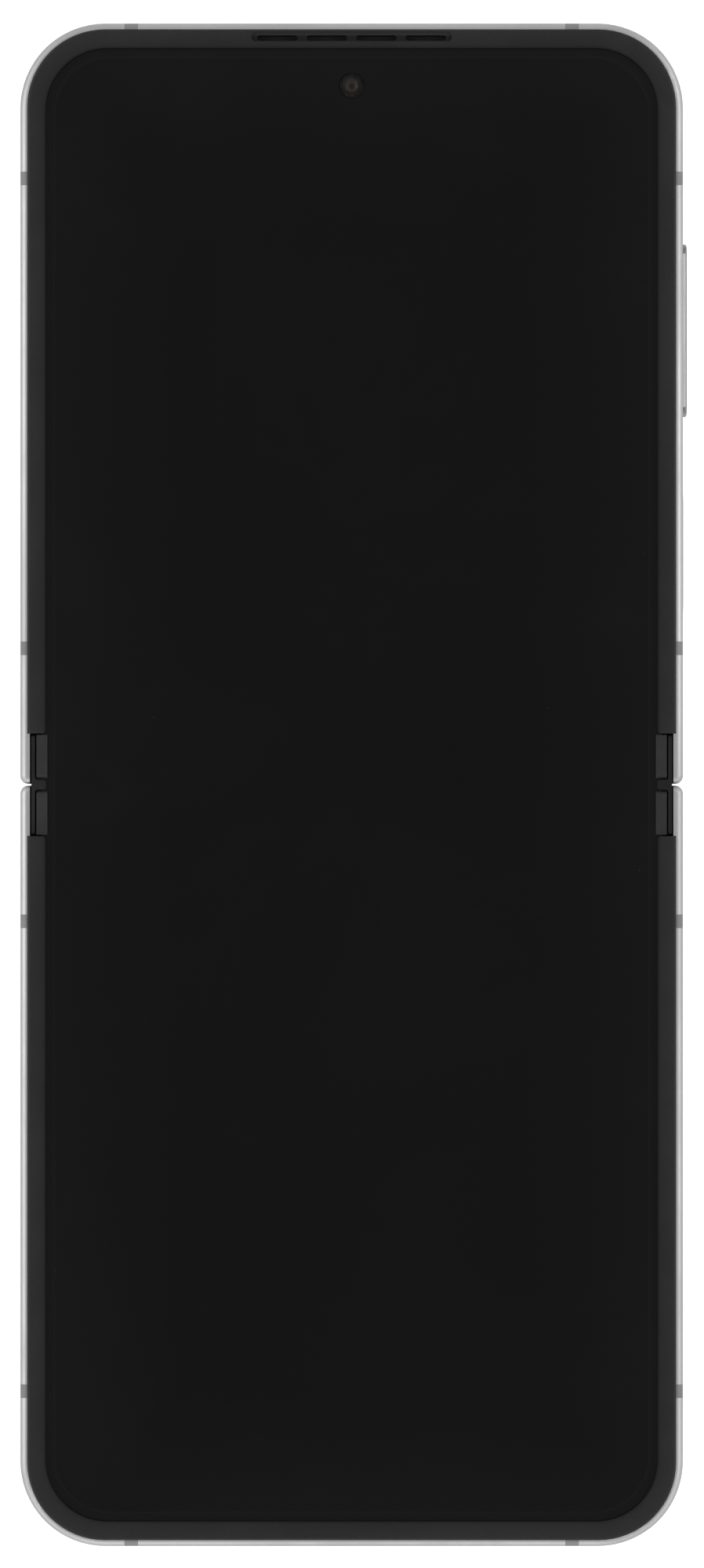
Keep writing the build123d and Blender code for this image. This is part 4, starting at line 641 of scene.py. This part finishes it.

# %% [markdown]
# ## The inner screen
# A dark screen is not one flat black. It is painted a little lighter towards its edge, which is painted
# light, a fine grey line runs round the area that lights up, the margin outside that line is painted lighter
# as painted light against the surround's shade, and a few grains of dust lie on the sheet. All of this stays
# faint, because its gloss is what one sees first.

# %% Screen finish
SCREEN_LIT = {"Half_Width": 32.25 * mm, "Half_Height": 78.9 * mm, "Corner": 6.2 * mm}
screen_glass = Finish("screen_glass", uv=True, Coat_Weight=0.3, Coat_Roughness=0.03)
rim_line = screen_glass.effect(border_group, **SCREEN_LIT)["Distance"]
screen_glass.colour(screen_glass.handled(30.0), 0.0006, 0.0010)
# Painted light: lighter towards the edge of the screen.
screen_glass.over(screen_glass.along(rim_line, 33.3 * mm, [(0.1, 0.0), (0.5, 1.0)], start=0.5), 0.0026)
# A fine grey line round the lit area. Beyond it the ramp stays partway up: painted light on the margin
# against the surround's shade.
screen_glass.over(
    screen_glass.along(rim_line, 2.0 * mm, [(0.44, 0.0), (0.5, 0.75), (0.56, 0.30)], start=0.5),
    (0.0075, 0.0075, 0.0076),
)
screen_glass.over(screen_glass.effect(dust_group, Scale=94.0, Size=0.005)["Mask"], 0.030)
screen_glass.roughness(screen_glass.handled(40.0), 0.10, 0.17)

# %% [markdown]
# On the real phone one sheet runs from end to end and bends across the middle. A rigid piece can't do that,
# so the sheet is made as two meshes that meet on the fold line. Near the fold they have many thin rows. The
# top sinks slightly along the fold, as such sheets do.


# %% Helpers for meshes
def as_object(bm, name, finish):
    """Turns a bmesh into a named object with one finish."""
    mesh = bpy.data.meshes.new(name)
    bm.to_mesh(mesh)
    bm.free()
    mesh.materials.append(finish.material)
    made = bpy.data.objects.new(name, mesh)
    scene.collection.objects.link(made)
    print(name, "with", len(mesh.polygons), "faces")
    return made


def smooth_but(bm, degrees):
    """Smooth shading, with edges steeper than this left sharp."""
    for face in bm.faces:
        face.smooth = True
    for edge in bm.edges:
        edge.smooth = len(edge.link_faces) == 2 and edge.calc_face_angle() < math.radians(degrees)


def new_corners(grown):
    """The new points of an extruded region."""
    return [item for item in grown["geom"] if isinstance(item, bmesh.types.BMVert)]


def flat_map(bm):
    """Keeps each point's resting X and Y in metres, so that the finish stays put when a sheet bends."""
    layer = bm.loops.layers.uv.new("resting_place")
    for face in bm.faces:
        for loop in face.loops:
            loop[layer].uv = loop.vert.co.xy


def middle_of(node):
    """The middle of a CAD node in X and Y, on the plane of the back glass."""
    low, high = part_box(node)
    return Vector(((low.x + high.x) / 2, (low.y + high.y) / 2, 0))


# %% Screen sheet
screen_low, screen_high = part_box("upper_display_panel")
FOLD_HALF = screen_low.y
SCREEN_CORNER = 7.2 * mm
ROWS = 18
CREASE = 0.03 * mm
CORNER_STEPS = 24
HOLE_STEPS = 72
HOLE_RADIUS = 1.42 * mm
front_middle = middle_of("front_camera")


def screen_half(name, side, hole):
    """One half of the sheet: side is 1 for the upper half and -1 for the lower one."""
    bm = bmesh.new()
    top, bottom = screen_high.z, screen_low.z
    half, end = screen_high.x, screen_high.y
    left, right = [], []
    for row in range(ROWS + 1):
        y = FOLD_HALF * row / ROWS
        sink = CREASE * 0.5 * (1 + math.cos(math.pi * y / FOLD_HALF))
        left.append(bm.verts.new((-half, side * y, top - sink)))
        right.append(bm.verts.new((half, side * y, top - sink)))
    for row in range(ROWS):
        bm.faces.new((left[row], right[row], right[row + 1], left[row + 1]))
    outline = [right[-1]]
    for corner, start in ((1, 0), (-1, 90)):
        for step in range(CORNER_STEPS + 1):
            angle = math.radians(start + 90 * step / CORNER_STEPS)
            x = corner * (half - SCREEN_CORNER) + SCREEN_CORNER * math.cos(angle)
            y = end - SCREEN_CORNER + SCREEN_CORNER * math.sin(angle)
            outline.append(bm.verts.new((x, side * y, top)))
    outline.append(left[-1])
    rim = [bm.edges.new(pair) for pair in zip(outline, outline[1:])]
    rim.append(bm.edges.get((left[-1], right[-1])))
    if hole:
        ring = []
        for step in range(HOLE_STEPS):
            angle = 2 * math.pi * step / HOLE_STEPS
            ring.append(bm.verts.new((
                front_middle.x + HOLE_RADIUS * math.cos(angle),
                front_middle.y + HOLE_RADIUS * math.sin(angle), top,
            )))
        rim += [bm.edges.new(pair) for pair in zip(ring, ring[1:] + ring[:1])]
    bmesh.ops.triangle_fill(bm, edges=rim, use_beauty=True, normal=(0, 0, 1))
    bmesh.ops.recalc_face_normals(bm, faces=bm.faces)
    for v in new_corners(bmesh.ops.extrude_face_region(bm, geom=bm.faces[:])):
        v.co.z = bottom
    bmesh.ops.recalc_face_normals(bm, faces=bm.faces)
    smooth_but(bm, 30)
    flat_map(bm)
    return as_object(bm, name, screen_glass)


upper_screen = screen_half("upper_screen", 1, True)
lower_screen = screen_half("lower_screen", -1, False)

# %% [markdown]
# Each sheet's transform is applied to its mesh. No blend ties the sheets to the halves or the spine here, so
# they stay flat.


# %% Screen sheets in place
def bends(upper, lower):
    """Applies the transform of each half's piece to its mesh; nothing is blended into the spine."""
    for piece, body, side in ((upper, "upper_half", 1), (lower, "lower_half", -1)):
        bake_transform(piece)


bends(upper_screen, lower_screen)
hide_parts("upper_display_panel", "display_fold")
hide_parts("lower_display_panel")
print("the sheets bend over", round(FOLD_HALF / mm, 2), "mm on each side of the fold")

# %% [markdown]
# ## Camera modules
# A camera module is a square can with a round barrel. Through the clear cover glass one sees a black mask,
# then a funnel of fine steps that swallows stray light, and at its bottom the first lens, a dome with a
# violet coating. All of this is one idea: a closed profile of rings that are joined one to the next. A ring
# is round or a square with round corners, with the same number of points, so that one can follow the other.

# %% Helpers for shapes made of rings
TURNS = 96


def ring_point(size, corner, k):
    """Point k of a ring: a circle of this radius, or with a corner radius a square of this half width."""
    if corner is None:
        angle = 2 * math.pi * (k + 0.5) / TURNS
        return size * math.cos(angle), size * math.sin(angle)
    quarter, step = divmod(k, TURNS // 4)
    angle = math.pi / 2 * (quarter + step / (TURNS // 4 - 1))
    side_x, side_y = ((1, 1), (-1, 1), (-1, -1), (1, -1))[quarter]
    return (side_x * (size - corner) + corner * math.cos(angle),
            side_y * (size - corner) + corner * math.sin(angle))


def ringed_piece(name, finish, profile, centre):
    """A closed piece from rings (size, level) or (size, level, corner) in mm, joined in turn."""
    bm = bmesh.new()
    rings = []
    for size, level, *corner in profile:
        z = centre.z + level * mm
        if size == 0:
            rings.append([bm.verts.new((centre.x, centre.y, z))] * TURNS)
            continue
        ring = []
        for k in range(TURNS):
            x, y = ring_point(size, corner[0] if corner else None, k)
            ring.append(bm.verts.new((centre.x + x * mm, centre.y + y * mm, z)))
        rings.append(ring)
    for first, second in zip(rings, rings[1:]):
        for k in range(TURNS):
            ahead = (k + 1) % TURNS
            corners = list(dict.fromkeys((first[k], first[ahead], second[ahead], second[k])))
            if len(corners) > 2:
                bm.faces.new(corners)
    bmesh.ops.recalc_face_normals(bm, faces=bm.faces)
    smooth_but(bm, 25)
    return as_object(bm, name, finish)


def dome(radius, rim, rise, steps=14):
    """Rings of a dome from its rim to its tip, for a lens that bulges by rise from the level rim."""
    rings = []
    for k in range(steps + 1):
        a = math.pi / 2 * k / steps
        rings.append((radius * math.cos(a) if k < steps else 0, rim + rise * math.sin(a)))
    return rings


def fit(node, bodies, glasses):
    """Rides black pieces and glass ones on the upper half, and hides the CAD node they replace."""
    for pieces, slot in ((bodies, "camera_body"), (glasses, "camera_glass")):
        for piece in pieces:
            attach(piece, "upper_half")
    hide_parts(node)


# %% [markdown]
# The funnel and the can are black, the window is clear. A lens is finished from outside only: it looks black
# in its depth, with a coating whose tint depends on the distance to its tip.

# %% Finishes of the cameras
funnel = grained("funnel_black", ((0.006, 0.006, 0.007), (0.010, 0.010, 0.011)), (0.35, 0.5),
                 grain=9000.0, micrometres=1.0, patches=400.0, edge=(0.03, 0.03, 0.035), radius=0.04 * mm)
module_black = grained("module_black", ((0.016, 0.016, 0.017), (0.024, 0.024, 0.025)), (0.40, 0.52),
                       grain=7000.0, micrometres=2.5, patches=250.0, edge=(0.09, 0.085, 0.08),
                       radius=0.08 * mm)


def clear(name, ior, tones, roughest):
    """Clear glass that hands have made a little uneven."""
    finish = Finish(name, Transmission_Weight=1.0, IOR=ior)
    finish.colour(finish.handled(300.0), *tones)
    finish.roughness(finish.handled(200.0), 0.0, roughest)
    return finish


def coated(name, tip, middle, outer, reach):
    """Glass over black with a coating whose tint goes from the tip outwards."""
    finish = Finish(name, Coat_Weight=1.0, Coat_Roughness=0.01)
    from_tip = vector_node(finish.tree, "LENGTH", vector_node(
        finish.tree, "SUBTRACT", finish.position, tuple(tip),
    ))
    tint = ramp(finish.tree, rescale(finish.tree, from_tip, 0.0, reach),
                [(0.0, middle), (0.55, outer), (1.0, (0.002, 0.002, 0.003))])
    finish.colour(finish.handled(250.0), tint, outer)
    finish.roughness(finish.handled(200.0), 0.02, 0.04)
    return finish


lens = clear("camera_glass", 1.5, ((0.92, 0.94, 0.96), (0.96, 0.97, 0.98)), 0.03)
VIOLET = ((0.008, 0.014, 0.075), (0.070, 0.014, 0.100))

# %% [markdown]
# Levels are heights over the plane of the back, in millimetres. The window stands out of the back a little,
# under it comes the funnel from its wide mouth down to the lens, and the can holds both.

# %% Rear cameras
MOUTH, MOUTH_LEVEL = 3.15, 0.42
STEPS, STEP_RISE, STEP_TREAD = 6, 0.19, 0.13
LENS_LEVEL, LENS_BULGE = 1.75, 0.42


def rear_camera(name, node, lens_radius):
    """Module, funnel, lens and window of one rear camera, in place of its plain block."""
    low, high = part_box(node)
    centre = middle_of(node)
    half, back = (high.x - low.x) / 2 / mm, high.z / mm
    r = lens_radius
    block = ringed_piece(name + "_module", module_black, [
        (0, 2.25), (3.28, 2.25), (3.28, 0.5), (3.33, 0.5), (3.35, 0.54), (3.35, 0.75),
        (half - 0.25, 0.75, 0.75), (half, 1.0, 1.0), (half, 3.5, 1.0), (half - 0.15, 3.6, 0.85),
        (half - 0.15, back - 0.1, 0.85), (half - 0.3, back, 0.7), (0, back),
    ], centre)
    steps = [(0, 2.2), (3.24, 2.2), (3.24, MOUTH_LEVEL), (5.26, MOUTH_LEVEL), (5.26, 0.36), (3.2, 0.36)]
    for step in range(STEPS):
        radius = MOUTH - (3.0 - r) * step / STEPS
        level = MOUTH_LEVEL + STEP_RISE * step
        steps += [(radius, level), (radius, level + STEP_TREAD)]
    steps += [(r + 0.12, 1.56), (r + 0.12, 2.1), (0, 2.1)]
    well = ringed_piece(name + "_funnel", funnel, steps, centre)
    bulge = dome(r, LENS_LEVEL, -LENS_BULGE * r)
    tip = Vector((centre.x, centre.y, bulge[-1][1] * mm))
    glass = ringed_piece(name + "_lens", coated(name + "_coating", tip, *VIOLET, r * mm), [
        (0, 1.95), (r + 0.11, 1.95), (r + 0.11, 1.82), (r, LENS_LEVEL),
    ] + bulge[1:], centre)
    window = ringed_piece(name + "_window", lens, [
        (0, 0.325), (5.27, 0.325), (5.31, 0.285), (5.31, -0.11), (5.24, -0.175), (0, -0.175),
    ], centre)
    fit(node, (block, well), (glass, window))
    return window


main_window = rear_camera("main_camera_front", "main_camera", 2.35)
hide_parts("camera_glasses")
rear_camera("wide_camera_front", "wide_camera", 1.85)

# %% [markdown]
# ### Front camera
# It looks through a hole in the screen, and nearly fills it. Its first lens has a warm grey coating, with a
# faint red arc painted low in the glass, a painted light where light goes through the rim of the lens stack.
# A thin window lies level with the screen.

# %% Finish of the front lens
ARC_MIDDLE_UP = 0.12 * mm
warm = Finish("front_camera_coating", Specular_IOR_Level=0.3, Coat_Weight=0.35, Coat_Roughness=0.03)
across = vector_node(warm.tree, "SUBTRACT", warm.position,
                     (front_middle.x, front_middle.y + ARC_MIDDLE_UP, 0.0))
from_arc_middle = vector_node(warm.tree, "LENGTH", vector_node(
    warm.tree, "MULTIPLY", across, (1.0, 1.0, 0.0),
))
up_in_glass = axes(warm.tree, across)["Y"]
painted_red_arc_light = warm.along(from_arc_middle, 2.0 * mm, [(0.46, 0.0), (0.56, 1.0), (0.60, 0.5), (0.68, 0.0)])
low_share = warm.along(up_in_glass, -1.0 * mm, [(0.55, 0.0), (1.0, 1.0)])
warm.colour(warm.handled(900.0), (0.0108, 0.0098, 0.0082), (0.0132, 0.0112, 0.0094))
# Painted light: the faint red arc low in the glass.
warm.over(math_node(warm.tree, "MULTIPLY", painted_red_arc_light, low_share), (0.050, 0.013, 0.011))
warm.over(warm.along(from_arc_middle, 2.0 * mm, [(0.48, 0.0), (0.69, 1.0)]), (0.0022, 0.0022, 0.0021))
warm.roughness(warm.handled(500.0), 0.10, 0.16)
thin_glass = clear("front_window_glass", 1.22, ((0.94, 0.94, 0.93), (0.97, 0.97, 0.96)), 0.02)

# %% Front camera
CAP_RADIUS, CAP_CURVE, CAP_RIM, CAP_STEPS = 0.60, 1.45, 6.2, 12
cap_centre = CAP_RIM - math.sqrt(CAP_CURVE ** 2 - CAP_RADIUS ** 2)
front_cap = []
for k in range(CAP_STEPS + 1):
    radius = CAP_RADIUS * (1 - k / CAP_STEPS)
    front_cap.append((radius, cap_centre + math.sqrt(CAP_CURVE ** 2 - radius ** 2)))
front_block = ringed_piece("front_camera_module", module_black, [
    (0, 5.1), (1.27, 5.1), (1.27, 5.7), (1.37, 5.7), (1.37, 5.0), (2.5, 5.0, 0.5), (2.6, 4.9, 0.6),
    (2.6, 3.1, 0.6), (2.5, 3.0, 0.5), (0, 3.0),
], front_middle)
front_lens = ringed_piece("front_camera_lens", warm, [
    (0, 5.75), (1.25, 5.75), (1.38, 5.75), (1.38, CAP_RIM),
] + front_cap, front_middle)
front_window = ringed_piece("front_camera_window", thin_glass, [
    (0, 6.42), (1.40, 6.42), (1.405, 6.54), (0, 6.54),
], front_middle)
fit("front_camera", (front_block,), (front_lens, front_window))
print("front camera at", in_mm(front_middle), "mm")

# %% [markdown]
# ## Flash
# A yellow phosphor tile sits in a white cup, under a lens with fine concentric prisms that spread its light.

# %% Flash
phosphor = grained("phosphor", ((0.78, 0.62, 0.16), (0.86, 0.74, 0.28)), (0.35, 0.45), grain=3000.0,
                   micrometres=8.0, patches=900.0)
cup_white = grained("cup_white", ((0.74, 0.74, 0.72), (0.80, 0.80, 0.78)), (0.30, 0.40), grain=6000.0,
                    patches=500.0, edge=(0.9, 0.9, 0.88), radius=0.05 * mm)
flash_middle = middle_of("flash_led")
flash_cup = ringed_piece("flash_cup", cup_white, [
    (0, 1.35), (0.95, 1.35), (1.55, 0.62), (1.72, 0.56), (1.85, 0.62), (1.85, 4.05), (1.75, 4.2), (0, 4.2),
], flash_middle)
flash_tile = ringed_piece("flash_tile", phosphor, [
    (0, 1.33), (0.62, 1.33, 0.06), (0.62, 1.0, 0.06), (0.58, 0.95, 0.05), (0, 0.95),
], flash_middle)
PRISMS, PRISM_PITCH, PRISM_FOOT, PRISM_TOP = 9, 0.155, 0.05, 0.12
prisms = [(0, 0.50), (1.80, 0.50), (1.85, 0.45), (1.85, 0.09), (1.81, PRISM_FOOT), (1.60, PRISM_FOOT)]
for step in range(PRISMS):
    outer = 1.55 - PRISM_PITCH * step
    prisms += [(outer, PRISM_FOOT), (outer - 0.12, PRISM_TOP), (outer - 0.15, PRISM_FOOT)]
flash_lens = ringed_piece("flash_lens", lens, prisms + [(0, PRISM_FOOT)], flash_middle)
fit("flash_led", (flash_cup, flash_tile), (flash_lens,))
print("flash at", in_mm(flash_middle), "mm")

# %% [markdown]
# ## Plug contacts
# The socket is a drawn steel shell with a black plastic tongue in its middle. Shell and tongue are one
# solid in the CAD model, so a mask by height and width gives the tongue its plastic. Twelve gold strips lie
# on each face of it, stamped from thin sheet, so their edges are rounded. Four of them are longer, because
# power has to meet first.

# %% Socket shell and tongue
TONGUE_MASK = {"Z": 0.37 * mm, "X": 3.36 * mm}
port_low, port_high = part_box("usb_c_port")
socket_middle = (port_low.z + port_high.z) / 2
shell = Finish("socket_shell", Coat_Weight=0.1)
beside = axes(shell.tree, vector_node(
    shell.tree, "SUBTRACT", shell.position, (0.0, 0.0, socket_middle),
))
thin, narrow = [
    math_node(shell.tree, "LESS_THAN", math_node(shell.tree, "ABSOLUTE", beside[axis]), half)
    for axis, half in TONGUE_MASK.items()
]
is_tongue = math_node(shell.tree, "MULTIPLY", thin, narrow)
shell.colour(shell.handled(150.0), (0.58, 0.57, 0.55), (0.66, 0.65, 0.62))
shell.over(is_tongue, (0.022, 0.022, 0.023))
shell.tree.links.new(rescale(shell.tree, is_tongue, low=1.0, high=0.0), shell.shader.inputs["Metallic"])
shell.roughness(shell.handled(200.0), 0.28, 0.40)
shell.bump(shell.effect(grain_group, Scale=9000.0)["Height"], 1.5)
wear(shell, "usb_c_port")

# %% Plug contacts
CONTACTS = 12
LONG_CONTACTS = (0, 3, 8, 11)
LONG_START, SHORT_START = 0.45 * mm, 0.75 * mm
CONTACT_PITCH = 0.5 * mm
CONTACT_WIDTH = 0.25 * mm
CONTACT_PROUD = 0.03 * mm
CONTACT_ROUND = 0.02 * mm
TONGUE_HALF = 0.35 * mm
tongue_back = port_high.y - 0.35 * mm
tongue_front = tongue_back - 4.45 * mm
contact_end = tongue_back - 0.5 * mm
gold = grained("contact_gold", ((0.86, 0.60, 0.26), (0.92, 0.68, 0.34)), (0.22, 0.34), grain=15000.0,
               micrometres=0.6, patches=600.0, metallic=1.0)
bm = bmesh.new()
for face in (1, -1):
    for number in range(CONTACTS):
        x = (number - (CONTACTS - 1) / 2) * CONTACT_PITCH
        start = tongue_front + (LONG_START if number in LONG_CONTACTS else SHORT_START)
        middle = Vector((x, (start + contact_end) / 2, socket_middle + face * TONGUE_HALF))
        size = Vector((CONTACT_WIDTH, contact_end - start, 2 * CONTACT_PROUD))
        strip = bmesh.ops.create_cube(bm, size=1)["verts"]
        for v in strip:
            v.co = middle + v.co * size
        edges = list({e for v in strip for e in v.link_edges})
        bmesh.ops.bevel(bm, geom=edges, offset=CONTACT_ROUND, segments=2, affect="EDGES")
smooth_but(bm, 40)
contacts = as_object(bm, "plug_contacts", gold)
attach(contacts, "lower_half")

# %% [markdown]
# ## Gauze behind the bottom holes
# Speakers and microphones breathe through the frame, and a fine steel gauze keeps dust out. It is punched to
# the shape of each hole and sits a little way in, so that the metal edge around it stays clear.

# %% Gauze
HOLE_PITCH = 3.9 * mm
SPEAKER_MIDDLE = 14.5 * mm
SPEAKER_HALF = (1.27 * mm, 0.52 * mm)
MICROPHONE_AT = -11.0 * mm
MICROPHONE_HALF = (0.47 * mm, 0.47 * mm)
GAUZE_BACK = 0.9 * mm
GAUZE_THICK = 0.08 * mm
GAUZE_STEPS = 48
bm = bmesh.new()
plates = [(SPEAKER_MIDDLE + (k - 1.5) * HOLE_PITCH, *SPEAKER_HALF) for k in range(4)]
plates.append((MICROPHONE_AT, *MICROPHONE_HALF))
for x, half_long, half_short in plates:
    rim = []
    for k in range(GAUZE_STEPS):
        angle = 2 * math.pi * (k + 0.5) / GAUZE_STEPS
        end = math.copysign(half_long - half_short, math.cos(angle))
        rim.append(bm.verts.new((
            x + end + half_short * math.cos(angle), cad_box[0][1] + GAUZE_BACK,
            socket_middle + half_short * math.sin(angle),
        )))
    for v in new_corners(bmesh.ops.extrude_face_region(bm, geom=[bm.faces.new(rim)])):
        v.co.y += GAUZE_THICK
bmesh.ops.recalc_face_normals(bm, faces=bm.faces)
smooth_but(bm, 30)
speaker_gauze = as_object(bm, "speaker_gauze", gauze)
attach(speaker_gauze, "lower_half")

# %% [markdown]
# ## Ribbon cables across the hinge
# Two printed cables pass under the screen from one half to the other; on the real phone they bend with it.
# Like the screen, each is made as two sheets with many rows that meet on the fold line. Their ends turn down
# to the boards.

# %% Ribbons across the hinge
RIBBON_THICK = 0.12 * mm
RIBBON_WIDTH = 9.0 * mm
RIBBON_BEND = 0.3 * mm
FLAT_ROWS, FLAT_SHARE, BEND_ROWS = 40, 0.93, 6
cable_low, cable_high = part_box("hinge_flex_cables")
bending_ribbon = ribbon_film("bending_ribbon_film", True)


def hinge_ribbon(name, side):
    """Both cables of one half as one piece, from the fold line to the tab that goes down."""
    bm = bmesh.new()
    reach, top = cable_high.y, cable_high.z
    line = [(reach * FLAT_SHARE * k / FLAT_ROWS, top) for k in range(FLAT_ROWS + 1)]
    for k in range(BEND_ROWS + 1):
        angle = math.pi / 2 * k / BEND_ROWS
        line.append((reach - RIBBON_BEND + RIBBON_BEND * math.sin(angle),
                     top - RIBBON_BEND + RIBBON_BEND * math.cos(angle)))
    line.append((reach, cable_low.z))
    for across in (-1, 1):
        middle = across * (cable_high.x - RIBBON_WIDTH / 2)
        rows = []
        for index, (y, z) in enumerate(line):
            before, after = line[max(index - 1, 0)], line[min(index + 1, len(line) - 1)]
            along = Vector((after[0] - before[0], after[1] - before[1])).normalized()
            inner = (y + along.y * RIBBON_THICK, z - along.x * RIBBON_THICK)
            rows.append([
                bm.verts.new((middle + half * RIBBON_WIDTH / 2, side * py, pz))
                for half, (py, pz) in ((-1, (y, z)), (1, (y, z)), (1, inner), (-1, inner))
            ])
        for first, second in zip(rows, rows[1:]):
            for k in range(4):
                bm.faces.new((first[k], first[(k + 1) % 4], second[(k + 1) % 4], second[k]))
        bm.faces.new(rows[0])
        bm.faces.new(rows[-1])
    bmesh.ops.recalc_face_normals(bm, faces=bm.faces)
    smooth_but(bm, 30)
    flat_map(bm)
    return as_object(bm, name, bending_ribbon)


upper_cables = hinge_ribbon("upper_hinge_ribbons", 1)
lower_cables = hinge_ribbon("lower_hinge_ribbons", -1)
bends(upper_cables, lower_cables)
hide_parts("hinge_flex_cables")

# %% [markdown]
# ## The end of the scene

# %% Finish
bpy.context.view_layer.update()
